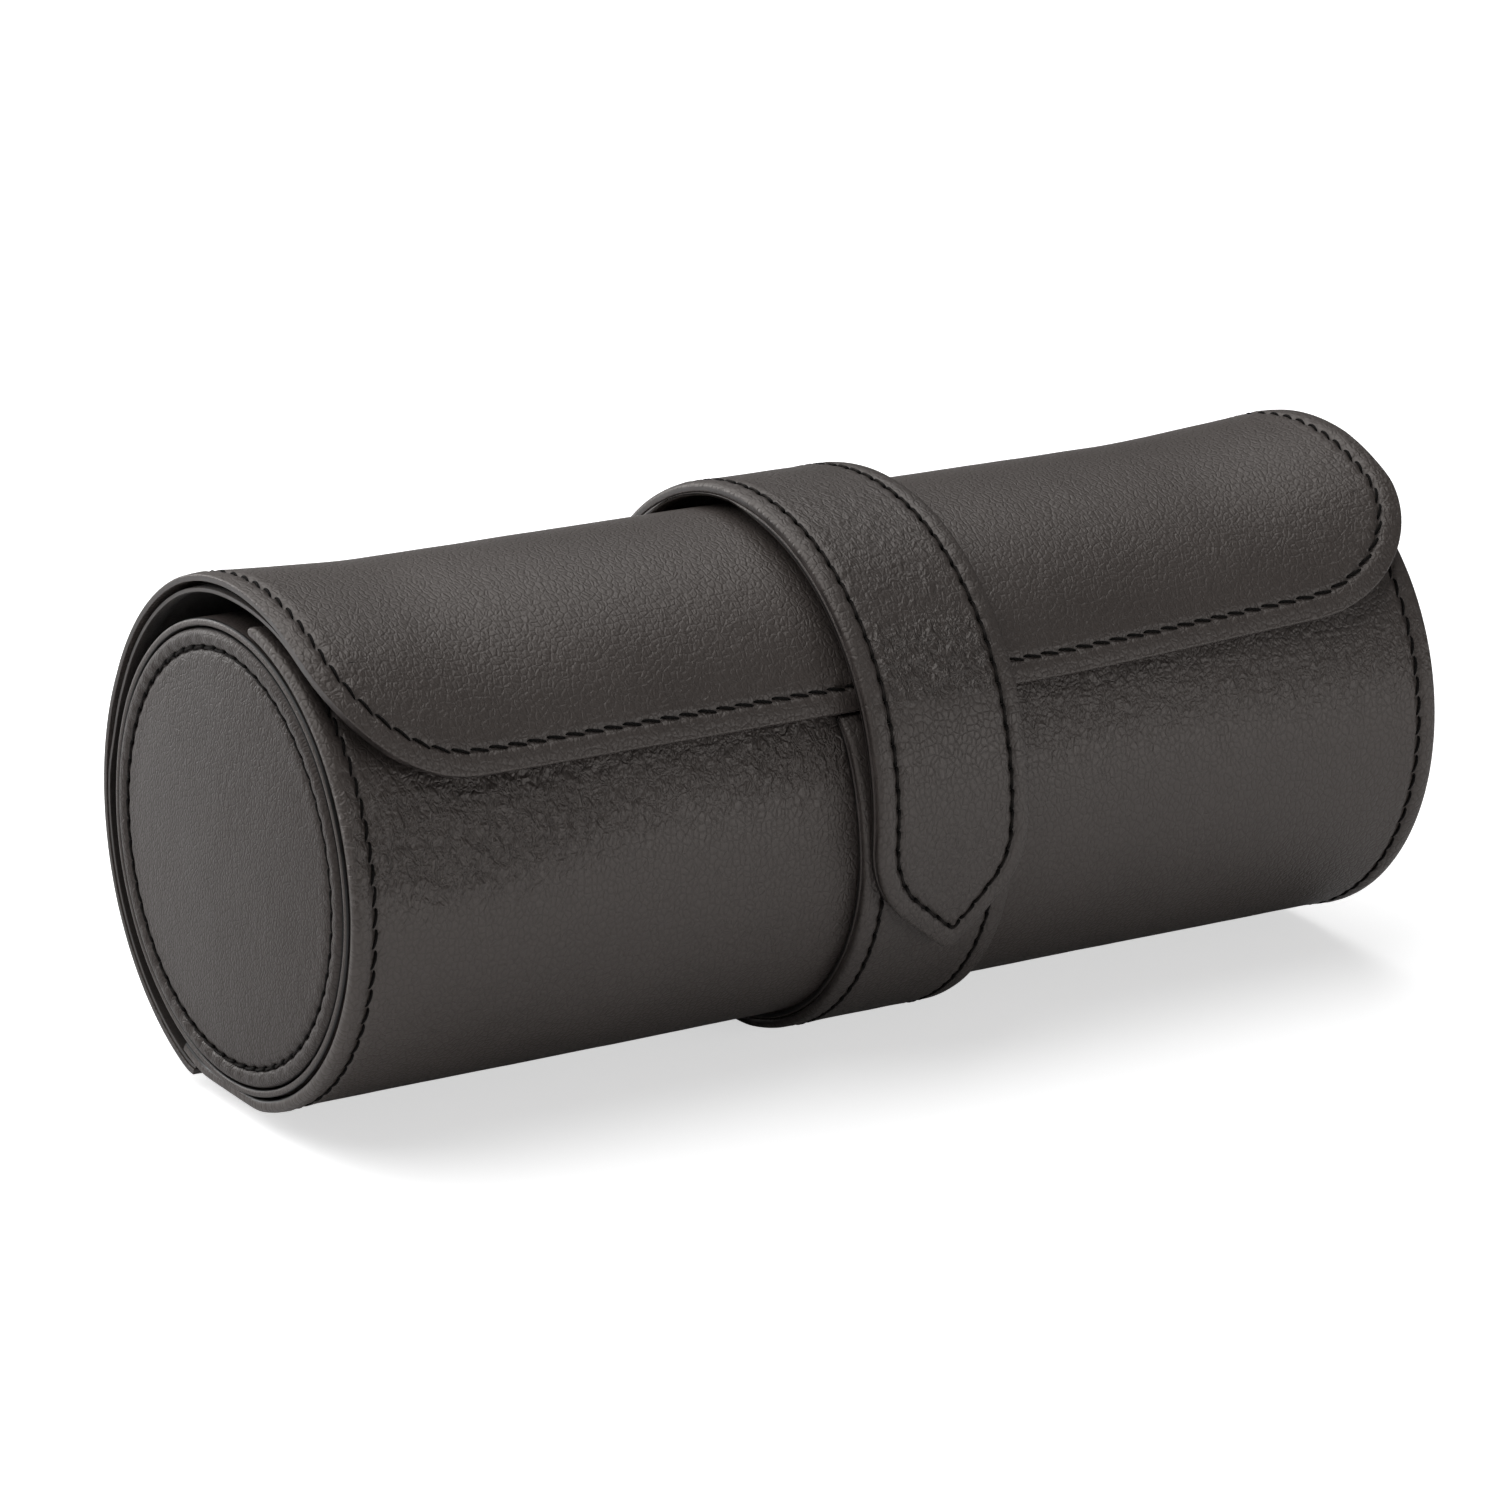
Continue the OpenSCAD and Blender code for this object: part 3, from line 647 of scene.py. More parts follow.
class FlapGrid:
    """Rings along the flap's edge and a grid inside them, in flat coordinates. The rows are closer
    over the rear seam, and fan out in the two corners."""

    def __init__(self, step, start_steps, depth):
        r, half = FLAP_CORNER_R, HALF_LEN
        straight = FLAP_S1 - r
        body = np.linspace(FLAP_S0 + start_steps[-1], straight, round((straight - FLAP_S0) / step))
        arcs = round((r - FLAP_MARGIN) * math.pi / 2 / step)
        start, fan = FLAP_S0 + np.array(start_steps[:-1]), np.linspace(0, math.pi / 2, arcs + 1)[1:]
        self.row_s = np.concatenate([start, body, np.full(arcs, straight)])
        self.phi = np.concatenate([np.zeros(len(self.row_s) - arcs), fan])
        self.m = len(self.row_s) - 1
        self.n = PLAIN_COLUMNS * round(2 * (half - r) / step / PLAIN_COLUMNS)
        self.depth = depth
        self.across = np.linspace(-1, 1, self.n + 1)

    def ring(self, d):
        """The line at a distance inside the edge, up one side, along the front and back."""
        r, half = FLAP_CORNER_R, HALF_LEN
        x = (half - r) + (r - d) * np.cos(self.phi)
        s = self.row_s + (r - d) * np.sin(self.phi)
        front = self.across[1:-1] * (half - r)
        ahead = np.full(len(front), FLAP_S1 - d)
        return np.concatenate([-x, front, x[::-1]]), np.concatenate([s, ahead, s[::-1]])

    def inside(self):
        r, half, d = FLAP_CORNER_R, HALF_LEN, self.depth
        x = (half - r) + (r - d) * np.cos(self.phi[:-1])
        s = self.row_s[:-1] + (r - d) * np.sin(self.phi[:-1])
        x = x[:, None] * self.across[None, 1:-1]
        return x, np.broadcast_to(s[:, None], x.shape)

    def row_at(self, deg):
        s = self.row_s + FLAP_CORNER_R * np.sin(self.phi)
        return int(np.argmin(np.abs(s - arc(deg, FLAP_R))))


def flap_worn(x, s):
    deg = np.degrees(s / FLAP_R)
    ends = 0.12 * smooth((np.abs(x) - 70) / 30) * smooth((deg - 100) / 30)
    return 0.1 * smooth((deg - 60) / 60) + ends


def flap_layer(prefix, grid, steps, surfaces, plain, materials, radius, slot, stands_for):
    """One layer of the flap in five pieces. The two surfaces, of (x, s, edge distance), are its
    outside and its inside; steps are their rings' distances from the edge, and plain says which of
    them needs few columns inside its rings."""
    shape = Shape()
    rings, grids = [], []
    m, n = grid.m, grid.n
    path_row = np.concatenate([np.arange(m), np.full(n, m - 1), np.arange(m)[::-1]])
    for side, surface in enumerate(surfaces):
        first = steps[side][0]
        x, s = (np.array(a) for a in zip(*(grid.ring(d) for d in steps[side])))
        edge = np.minimum(np.array(steps[side])[:, None], s - FLAP_S0 + first)
        ring = shape.add(surface(x, s, edge), x, s, flap_worn(x, s))
        shape.grid(ring, tag=path_row[None, :])
        last = ring[-1]
        every = n // PLAIN_COLUMNS if plain[side] else 1
        x, s = (a[:, every - 1 :: every] for a in grid.inside())
        edge = np.minimum(grid.depth, s - FLAP_S0 + first)
        inner = shape.add(surface(x, s, edge), x, s, flap_worn(x, s))
        front = last[m : m + n + 1]
        full = np.concatenate([last[:m, None], inner, last[::-1][:m, None]], 1)
        shape.grid(full, tag=np.arange(m - 1)[:, None])
        span = (full.shape[1] - 1) * every
        ahead = [front[i : i + span : every] for i in range(every + 1)]
        shape.put(np.stack([full[-1, 1:], full[-1, :-1], *ahead], -1), tag=m - 1)
        rings.append(ring)
        grids.append(full)
    shape.grid(np.stack([rings[0][0], rings[1][0]]), 1, tag=path_row[None, :])
    directions = shape.directions()
    cuts = [0] + [grid.row_at(deg) for deg in FLAP_CUTS] + [m + 1]
    ends = [SEAM_DEG] + FLAP_CUTS + [FLAP_EDGE_DEG]
    for i, name in enumerate(FLAP_PIECES):
        low, high = cuts[i], cuts[i + 1]
        front = i == len(FLAP_PIECES) - 1
        part = shape.emptied()
        for faces, slots, tags in zip(shape.faces, shape.slots, shape.tags):
            chosen = (tags >= low) & (tags < high)
            if chosen.any():
                part.put(faces[chosen], slots[chosen])
        for row in (low,) if front else (low, high):
            over = [rings[0][:, row], grids[0][row, 1:-1], rings[0][::-1, -1 - row]]
            under = [rings[1][:, -1 - row], grids[1][row, 1:-1][::-1], rings[1][::-1, row]]
            part.cap(np.concatenate(over + under), 1)
        piece = part.build(prefix + name, materials, directions)
        dress(piece, slot, stands_for + name)
        move_with_flap(piece, i, radius)
        length, area = arc(ends[i + 1] - ends[i], radius), None
        if front:
            area = (2 * HALF_LEN * length - (2 - math.pi / 2) * FLAP_CORNER_R**2) / 1e6


def flap_top(x, s, edge):
    h = rounded(edge, 0.32) + FLAP_SEAM.relief(x, s) + REAR_SEAM.relief(x, s)
    h += swollen(edge, FLAP_MARGIN, 0.12)
    h += 0.045 * cloudy(x, s, 7, 40) * smooth((edge - 4) / 3)
    return flap_surface(x, s, h)


def flap_under(x, s, edge):
    return flap_surface(x, s, LEATHER_UNDER - rounded(edge, 0.12))


def lining_over(x, s, edge):
    return flap_surface(x, s, LINING_OVER + rounded(edge - LINING_INSET, 0.12), LINING_DROOP)


def lining_under(x, s, edge):
    h = LINING_UNDER - rounded(edge - LINING_INSET, 0.15) - 0.5 * FLAP_SEAM.relief(x, s)
    return flap_surface(x, s, h, LINING_DROOP)


def build_flap():
    fine = FlapGrid(pick(0.575), REAR_STEPS, EDGE_STEPS[-1])
    flap_layer(
        "flap_skin_", fine, (EDGE_STEPS, [0, 0.12, 2, 8]), (flap_top, flap_under), (False, True),
        [SKIN, EDGE], FLAP_R, "leather", "flap_leather_",
    )
    coarse = FlapGrid(2.3, [0, 0.3, 1.2, 3, 5.2], 8.0)
    over, under = [0, 0.12, 1, 7], [0, 0.05, 0.15, 1, 2, 2.6, 3, 3.4, 4, 5, 7]
    steps = [LINING_INSET + np.array(d) for d in (over, under)]
    flap_layer(
        "flap_suede_", coarse, steps, (lining_over, lining_under), (True, False),
        [LINING, EDGE], FLAP_IN_R, "suede", "flap_lining_",
    )
    for i, chosen in enumerate(stitches_between(FLAP_CUTS, FLAP_R)):
        for what, seam in (("edge", FLAP_SEAM), ("rear", REAR_SEAM)):
            shape = thread(seam, flap_surface, chosen=chosen)
            if shape is not None:
                piece = shape.build(f"flap_{what}_thread_{FLAP_PIECES[i]}", [THREAD])
                dress(piece, "thread")
                move_with_flap(piece, i, FLAP_R)


# ---- The front and bottom panel ----

PANEL_S0, PANEL_S1 = arc(PANEL_TOP_DEG, PANEL_R), arc(PANEL_REAR_DEG, PANEL_R)
PANEL_MARGIN = 3.7
PANEL_TOP_STEPS = [
    0, 0.06, 0.2, 0.42, 0.75, 1.1, 1.7, 2.3, 2.8, 3.2, 3.5, 3.7, 3.9, 4.2, 4.6, 5.2, 6,
]
PANEL_END_STEPS = [
    0, 0.05, 0.16, 0.35, 0.65, 1.1, 1.6, 2.1, 2.6, 3.0, 3.3, 3.5, 3.7, 3.9, 4.1, 4.4, 4.8, 5.3, 6,
    7, 8,
]
PANEL_IN_STEPS = [0, 0.12, 0.4, 1.0, 6, 13]


def panel_surface(x, s, h):
    wave = 0.1 * cloudy(x, s, 45, 13)
    lip = 0.25 * bell((HALF_LEN - np.abs(x)) / 2.5)
    return place(x, PANEL_R + h + wave + lip, np.degrees(s / PANEL_R), PANEL_FLAT + h)


def panel_seam_path():
    side, top = HALF_LEN - PANEL_MARGIN, PANEL_S0 + PANEL_MARGIN
    left = corner((-side, PANEL_S1), (-side, top), (side, top), 1.2, 4)
    right = corner((-side, top), (side, top), (side, PANEL_S1), 1.2, 4)
    return [(-side, PANEL_S1), *left, *right, (side, PANEL_S1)]


PANEL_SEAM = Seam(panel_seam_path())


def panel_edge(x, s):
    return np.minimum(HALF_LEN - np.abs(x), s - PANEL_S0)


def build_panel():
    """Leather turned over its board: rows round the roll, each a closed loop along it."""
    step = pick(0.58)
    start = PANEL_S0 + np.array(PANEL_TOP_STEPS)
    rows = np.concatenate([start, np.arange(start[-1] + step, PANEL_S1, step), [PANEL_S1]])
    ends = np.array(PANEL_END_STEPS)
    middle = np.linspace(-HALF_LEN + 8, HALF_LEN - 8, 162)[1:-1]
    x_out = np.concatenate([-HALF_LEN + ends, middle, (HALF_LEN - ends)[::-1]])
    x_in = HALF_LEN - np.array(PANEL_IN_STEPS)
    x, s = np.meshgrid(x_out, rows)
    edge = panel_edge(x, s)
    h = rounded(edge, 1.0) + PANEL_SEAM.relief(x, s) + swollen(edge, PANEL_MARGIN, 0.1)
    away = smooth((edge - 4) / 3)
    h += 0.05 * cloudy(x, s, 7, 60) * away
    # Where it is crumpled: at its left end, in a line under the flap's edge and by the strap
    bent = bell((x + 84) / 22, (s - arc(163, PANEL_R)) / 9)
    under = bell((s - arc(157, PANEL_R)) / 8)
    by_strap = bell((x + 22) / 10, (s - arc(157, PANEL_R)) / 5)
    h -= 0.38 * creased(1.1 * x, 1.5 * s, 4.2, 70) * away * np.clip(bent * 1.6, 0, 1)
    h -= 0.14 * creased(x, 1.5 * s, 4.8, 75) * away * under
    wear_and_highlight = np.clip(1.3 * bent + 0.45 * under + 0.5 * by_strap, 0, 1) * smooth((s - PANEL_S0) / 5)
    shape = Shape()
    top = shape.add(panel_surface(x, s, h), x, s, wear_and_highlight)
    x, s = np.meshgrid(np.concatenate([x_in, -x_in[::-1]]), rows)
    h = -PANEL_THICK - rounded(panel_edge(x, s), 0.9)
    bottom = shape.add(panel_surface(x, s, h), x, s)
    loop = np.concatenate([top, bottom], 1)
    # The board's underside is near-black: painted shade for the gaps where it shows.
    slots = np.zeros(loop.shape[1], int)
    slots[len(x_out) + 1 : -2] = 1
    shape.tube(loop, slots)
    piece = shape.build("panel_skin", [SKIN, EDGE_DYE_AND_PAINTED_SHADE])
    on_case(piece, "leather", "panel_leather", "panel_board")
    on_case(thread(PANEL_SEAM, panel_surface).build("panel_thread", [THREAD]), "thread")


# ---- Bands and discs at the ends ----

DISC_IN_STEPS = np.linspace(0.4, 29, 20)
DISC_OUT_STEPS = [
    29.8, 30.6, 31.3, 31.9, 32.4, 32.8, 33.1, 33.35, 33.6, 33.85, 34.1, 34.4, 34.8, 35.2, 35.6,
    36.0, 36.3, 36.5, 36.63, 36.7,
]


def turned(count):
    return np.linspace(0, 360, count, endpoint=False)


def revolve(shape, x, radius, turns, slot=0, around=False, flat=None):
    """A line of points (x along the roll, distance from its axis) turned round the axis."""
    deg = turned(turns)[:, None]
    x, radius = (np.broadcast_to(a, (turns, np.shape(a)[-1])) for a in (x, radius))
    u, v = polar(radius, deg) if flat is None else flat
    index = shape.add(place(x, radius, deg), u, v)
    index = np.concatenate([index, index[:1]], 0)
    shape.grid(index, slot, around)
    return index


def build_band(side, word):
    outer, inner = BAND_R - 0.02, BAND_R - BAND_T
    far = HALF_LEN + BAND_PROUD
    near = far - BAND_LEN
    turn = np.linspace(0, math.pi, 9)
    mid, half = (outer + inner) / 2, (outer - inner) / 2
    x = np.concatenate([far - half + half * np.sin(turn) ** 0.8, [near, near]])
    r = np.concatenate([mid + half * np.cos(turn), [inner, outer]])
    deg = turned(360)
    waver = 0.12 * cloudy(*polar(40, deg), 18, 90 + side)[:, None]
    xs = side * (x[None, :] + waver * (x[None, :] > far - 2))
    across = np.cumsum(np.hypot(np.gradient(x), np.gradient(r)))
    shape = Shape()
    # Both sides of the band's rounded end are near-black: painted shade, for the dark lines beside
    # it.
    slots = np.array([[1, 1, 0, 0, 0, 0, 1, 1, 0, 0, 0]])
    revolve(shape, xs, r, len(deg), slots, True, (arc(deg, 38)[:, None], across))
    piece = shape.build("rim_band_" + word, [BACKING, EDGE_DYE_AND_PAINTED_SHADE])
    on_case(piece, "band_leather", word + "_rim_band")


def disc_height(r, along, pitch, u, v, seed):
    """Height of the padded disc over its rim."""
    dome = -0.35 + 1.85 * np.clip(1 - (r / GROOVE_R) ** 2, 0, 1) ** 0.8
    bead = -0.35 + 0.45 * np.sqrt(np.clip(1 - ((r - 35.25) / 1.55) ** 2, 0, 1))
    h = np.where(r < GROOVE_R, dome, bead) + rounded(DISC_R - r, 1.1)
    h += sewn(np.abs(r - GROOVE_R), along, pitch)
    inside = bell(np.clip(GROOVE_R - r, 0, None) / 3.2) * (r < GROOVE_R)
    h += 0.05 * np.cos(2 * np.pi * along / pitch) * inside * smooth((GROOVE_R - r) / 1.2)
    rough = 0.14 * cloudy(u, v, 16, seed) + 0.04 * cloudy(u, v, 5, seed + 5)
    return h + rough * smooth((GROOVE_R - r) / 4)


def build_disc(side, word):
    name = "disc_" + word
    turns = DISC_PITCHES * pick(8)
    pitch = 2 * math.pi * GROOVE_R / DISC_PITCHES
    deg = turned(turns)[:, None]
    r = np.concatenate([DISC_IN_STEPS, DISC_OUT_STEPS])
    rr = np.broadcast_to(r, (turns, len(r)))
    h = disc_height(rr, np.radians(deg) * GROOVE_R, pitch, *polar(rr, deg), 120 + side)
    x = np.concatenate([DISC_RIM_X + h, np.full((turns, 2), DISC_RIM_X + DISC_BACK)], 1)
    radii = np.concatenate([r, [DISC_R, DISC_R - 1.5]])
    # The disc's rounded rim and back are near-black: painted shade for the gap round it.
    slots = np.zeros(len(radii) - 1, int)
    slots[len(r) - 3 :] = 1
    shape = Shape()
    index = revolve(shape, side * x, radii, turns, slots)
    shape.put(index[:-1, 0])
    shape.cap(index[:-1, -1])
    piece = shape.build(name + "_skin", [DISC_SKIN, EDGE_DYE_AND_PAINTED_SHADE])
    on_case(piece, "leather", *(f"{word}_end_{part}" for part in ("leather", "pad", "board")))
    circle = Seam([(GROOVE_R * a, 0.0) for a in np.linspace(0, 2 * math.pi, 200)])
    circle.count, circle.pitch = DISC_PITCHES, pitch

    def on_disc(length, off, up):
        height = -0.3 + up
        return place(side * (DISC_RIM_X + height), GROOVE_R + off, np.degrees(length / GROOVE_R))

    threads = thread(circle, on_disc, groove=-0.05, slant=0.16, tone=0.5)
    on_case(threads.build(name + "_thread", [THREAD]), "thread")
    lining = Shape()
    r = np.array([0.5, 12, 24, 32, 35, 36.2, 36.6, 36.7, 36.7])
    bulge = np.array([0, 0.01, 0.03, 0.1, 0.18, 0.3, 0.45, 0.55, 0.6])
    index = revolve(lining, side * (DISC_RIM_X + DISC_BACK - 0.6 + bulge), r, 180)
    lining.put(index[:-1, 0])
    lining.cap(index[:-1, -1])
    piece = lining.build(name + "_suede", [LINING])
    on_case(piece, "suede", word + "_end_lining")


# ---- The strap ----

STRAP_START_DEG = -66.0
STRAP_CUTS = [-20.5, 28.5, 77.5, 126.0]
TAB_BEND_DEG = 9
STRAP_MARGIN = 3.6
SKIN_UNDER, BACK_OVER, BACK_UNDER, LOWER_UNDER = -1.58, -1.62, -2.8, -2.78
STRAP_STEPS = [
    0, 0.06, 0.2, 0.42, 0.75, 1.2, 1.8, 2.4, 2.8, 3.1, 3.35, 3.6, 3.85, 4.1, 4.4, 4.9, 5.6, 6.5,
]
PLAIN_STEPS = [0, 0.1, 0.3, 1.5]
BACK_STEPS = [0, 0.12, 0.45, 1.5, 2.6, 3.2, 3.6, 4.0, 4.6, 6]
TIP_STEPS = [1.6, 1.2, 0.85, 0.55, 0.33, 0.17, 0.07, 0.02]


def pointed_outline(inset):
    """The strap's outline on the flat leather from its start to its point and back."""
    tip_deg = (TAB_DEG + TAB_TIP_DEG) / 2
    tip_run = arc(TAB_TIP_DEG - tip_deg, STRAP_OUT_R)
    tip = np.array([STRAP_X + TIP_SHIFT, arc(TAB_TIP_DEG, STRAP_OUT_R)])
    lean = math.degrees(math.atan2(TIP_SHIFT, tip_run))
    left_run = (tip[0] - STRAP_LEFT) / math.tan(math.radians(TIP_SLOPE_DEG + lean))
    right_run = (STRAP_RIGHT - tip[0]) / math.tan(math.radians(TIP_SLOPE_DEG - lean))
    start = arc(STRAP_START_DEG, STRAP_OUT_R)
    left, right = (STRAP_LEFT, tip[1] - left_run), (STRAP_RIGHT, tip[1] - right_run)
    path = np.array([(STRAP_LEFT, start), left, tip, right, (STRAP_RIGHT, start)])
    lines = []
    for a, b in zip(path[:-1], path[1:]):
        run = (b - a) / np.linalg.norm(b - a)
        lines.append((a + np.array([run[1], -run[0]]) * inset, run))
    met = []
    for (a, u), (b, v) in zip(lines[:-1], lines[1:]):
        met.append(a + np.linalg.solve(np.array([u, -v]).T, b - a)[0] * u)
    left, tip, right = met
    first, last = np.array([left[0], start]), np.array([right[0], start])
    shoulders = [
        corner(first, left, tip, SHOULDER_R - inset, 14),
        corner(tip, right, last, SHOULDER_R - inset, 14),
    ]
    point = [tip] if inset > TIP_R else corner(left, tip, right, TIP_R - inset, 10)
    return np.array([first, *shoulders[0], *point, *shoulders[1], last])


STRAP_BORDER = Seam(pointed_outline(0))
STRAP_SEAM = Seam(pointed_outline(STRAP_MARGIN))


def strap_surface(x, s, h):
    """The strap over the flap and its tab, outside face at h 0."""
    deg = np.degrees(s / STRAP_OUT_R)
    across = np.clip((x - STRAP_X) / (STRAP_W / 2), -1, 1)
    lift = np.interp(deg, [-10, 40, 70, 110, 140, 160, 185], [0, 1.3, 1.9, 1.8, 1.3, 0.5, 0])
    curl = 0.5 * (0.5 - 0.5 * across) ** 1.5 * smooth((deg - 62) / 30)
    lift = lift + curl * (1 - smooth((deg - 150) / 40))
    camber = -0.16 * across**4 + 0.06 * cloudy(x, s, 22, 31)
    rear = 1 - smooth((deg + 60) / 20)
    shift = FRONT_SHIFT * smooth((deg - 88) / 24)
    flat = np.where(deg < -40, AXIS_H + h, FAR)
    return place(x, STRAP_OUT_R + h + lift + camber * (1 - rear), deg, flat, shift)


def strap_sides(rows):
    """Where the strap's left and right edge are in each row."""
    x, s = STRAP_BORDER.path.T
    tip = int(np.argmax(s))
    left = np.interp(rows, s[: tip + 1], x[: tip + 1])
    return left, np.interp(rows, s[tip:][::-1], x[tip:][::-1])


def strap_worn(x, s):
    deg = np.degrees(s / STRAP_OUT_R)
    bent = 1.1 * smooth((deg - 130) / 10) * (1 - smooth((deg - 149) / 4))
    bent = bent + 0.25 * smooth((deg - 80) / 30) * (1 - smooth((deg - 128) / 8))
    bent = bent + 0.25 * smooth((deg - 172) / 10)
    return bent * smooth((STRAP_W / 2 - np.abs(x - STRAP_X) - STRAP_MARGIN) / 1.5)


# Heights of the layers' faces over the strap's outside, at a distance from its edge


def skin_over(x, s, edge):
    h = rounded(edge, 0.7) + STRAP_SEAM.relief(x, s, 0.9) + swollen(edge, STRAP_MARGIN, 0.1)
    away = smooth((edge - 4) / 2)
    crumpled = np.clip(strap_worn(x, s), 0, 1) * (np.degrees(s / STRAP_OUT_R) < 160)
    h -= 0.28 * creased(1.3 * x, 0.9 * s, 3.2, 80) * away * crumpled
    h += 0.05 * cloudy(x, s, 6, 85) * away
    return h


def skin_under(x, s, edge):
    return SKIN_UNDER - rounded(edge, 0.3)


def back_over(x, s, edge):
    return BACK_OVER + rounded(edge, 0.3)


def back_under(x, s, edge):
    deg = np.degrees(s / STRAP_OUT_R)
    thin = 0.6 * smooth((deg - 50) / 15) * (1 - smooth((deg - 88) / 15))
    return BACK_UNDER + thin - rounded(edge, 0.45) - 0.5 * STRAP_SEAM.relief(x, s)


def lower_over(x, s, edge):
    h = rounded(edge, 0.7)
    for seam in LOWER_SEAMS:
        h = h + seam.relief(x, s, 0.9)
    h += swollen(edge, STRAP_MARGIN, 0.1)
    return np.minimum(h + 0.05 * cloudy(x, s, 6, 95) * smooth((edge - 4) / 2), 0.06)


def lower_under(x, s, edge):
    return LOWER_UNDER - rounded(edge, 0.3)


def between(steps):
    """How many columns lie between the steps at both edges, with the last step of each."""
    return 17 if len(steps) > 8 else 5


def edged(loop, over):
    """Slots of a loop across the strap whose first columns, as many as over, are its outside."""
    slots = np.zeros(loop.shape[1], int)
    slots[over - 1] = slots[-1] = 1
    return slots


def strap_layer(prefix, step, sides, materials, radius, slot, nodes):
    """One layer of the strap, in a piece for each segment and one for the tab. sides are the steps
    from the edge and the heights of its outside and its inside."""
    start, tip = arc(STRAP_START_DEG, STRAP_OUT_R), STRAP_BORDER.path[:, 1].max()
    rows = np.linspace(start, tip - 2, round((tip - 2 - start) / step))
    rows = np.concatenate([rows, tip - np.array(TIP_STEPS)])
    left, right = strap_sides(rows)
    reach = np.sqrt(1 + np.abs(np.gradient(left, rows)).clip(0, 3) ** 2)[:, None]
    shape = Shape()
    loops = []
    for steps, height in sides:
        d = np.array(steps, float) * reach
        d = d * np.minimum(1, 0.98 * ((right - left) / 2) / d[:, -1])[:, None]
        a, b = left[:, None] + d, right[:, None] - d
        share = np.linspace(0, 1, between(steps))[1:-1]
        x = np.concatenate([a, a[:, -1:] + (b[:, -1:] - a[:, -1:]) * share, b[:, ::-1]], 1)
        if loops:
            x = x[:, ::-1]
        s = np.broadcast_to(rows[:, None], x.shape)
        edge = STRAP_BORDER.near(x, s)[0]
        edge[:, 0], edge[:, -1] = 0, 0
        points = strap_surface(x, s, height(x, s, edge))
        loops.append(shape.add(points, x, s, strap_worn(x, s)))
    loop = np.concatenate(loops, 1)
    slots = edged(loop, loops[0].shape[1])
    shape.grid(loop, slots, around=True)
    directions = shape.directions()
    cuts = [int(np.argmin(np.abs(rows - arc(deg, STRAP_OUT_R)))) for deg in STRAP_CUTS]
    names = SEGMENTS + ["tab"]
    for i, (low, high) in enumerate(zip([0] + cuts, cuts + [len(rows) - 1])):
        part = shape.emptied()
        part.tube(loop[low : high + 1], slots, 1)
        piece = part.build(prefix + names[i], materials, directions)
        dress(piece, slot, nodes[i])
        move_with_strap(piece, i, radius)
        area = None
        if names[i] == "tab":
            width = (right - left)[low : high + 1]
            area = ((width[1:] + width[:-1]) / 2 * np.diff(rows[low : high + 1])).sum()
            area = float(area) * radius / STRAP_OUT_R / 1e6


def move_with_strap(piece, i, radius):
    """As move_with_flap, but the last piece, the tab, has its place baked into its mesh."""
    if i < len(FOLD_DEG):
        move_with_flap(piece, i, radius)
    else:
        ends = (TAB_DEG - TAB_BEND_DEG, TAB_DEG + TAB_BEND_DEG)
        start, end = (place(0, radius, deg, shift=FRONT_SHIFT) for deg in ends)
        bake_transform(piece)


def build_strap():
    strap_layer(
        "strap_skin_", pick(0.5), ((STRAP_STEPS, skin_over), (PLAIN_STEPS, skin_under)),
        [STRAP_SKIN, EDGE], STRAP_OUT_R, "leather",
        ["strap_leather_" + name for name in SEGMENTS] + ["tab_leather"],
    )
    # The backing's edges are near-black: painted shade in the gap under the strap.
    strap_layer(
        "strap_back_", 1.0, ((PLAIN_STEPS, back_over), (BACK_STEPS, back_under)),
        [BACKING, EDGE_DYE_AND_PAINTED_SHADE], STRAP_IN_R, "backing_leather",
        ["strap_lining_" + name for name in SEGMENTS] + ["tab_lining"],
    )
    for i, chosen in enumerate(stitches_between(STRAP_CUTS, STRAP_OUT_R)):
        shape = thread(STRAP_SEAM, strap_surface, chosen=chosen, slant=0.1, tone=0.7)
        piece = shape.build("strap_thread_" + (SEGMENTS + ["tab"])[i], [THREAD])
        dress(piece, "thread")
        move_with_strap(piece, i, STRAP_OUT_R)


# ---- The lower strap, sewn to the case ----

LOWER_FROM_DEG, LOWER_TO_DEG = 151.0, 294.0
LOWER_S0, LOWER_S1 = arc(LOWER_FROM_DEG, LOWER_OUT_R), arc(LOWER_TO_DEG, LOWER_OUT_R)
LOWER_SEAMS = [
    Seam([(STRAP_X + side * (STRAP_W / 2 - STRAP_MARGIN), s) for s in (LOWER_S0 + 1, LOWER_S1)])
    for side, _ in ENDS
]
# How far the lower strap strays to the right as it comes up the front, smoothed
SKEW_DEG = [150, 163, 180, 192, 208, 231, 250, 268, 284, 300, 320]
SKEW_MM = [-1.9, -1.4, -0.5, 0.1, 0.75, 1.4, 1.6, 0.9, 0.25, 0, 0]
SKEW_AT = np.linspace(SKEW_DEG[0], SKEW_DEG[-1], 341)
WINDOW = np.hanning(25) / np.hanning(25).sum()
SKEW = np.convolve(np.pad(np.interp(SKEW_AT, SKEW_DEG, SKEW_MM), 12, "edge"), WINDOW, "valid")


def lower_surface(x, s, h):
    """The lower strap, outside face at h 0, pressed flat under the roll and thinner at its end."""
    deg = np.degrees(s / LOWER_OUT_R)
    across = np.clip((x - STRAP_X) / (STRAP_W / 2), -1, 1)
    over_seam = (STRAP_OUT_R - LOWER_OUT_R) * smooth((deg - 268) / 16)
    camber = -0.16 * across**4 * (1 - smooth((deg - 235) / 15))
    stand = 0.5 * (0.5 - 0.5 * across) ** 2 * smooth((225 - deg) / 40) * smooth((deg - 148) / 12)
    pressed = 0.45 * (1 - smooth((deg - 176) / 16))
    pressed = pressed + 0.7 * (1 - smooth((deg - LOWER_FROM_DEG) / 7))
    radius = LOWER_OUT_R + over_seam + camber + stand + h
    radius = radius - pressed * (h - BACK_UNDER) / -BACK_UNDER
    return place(x + np.interp(deg, SKEW_AT, SKEW), radius, deg, AXIS_H + h)


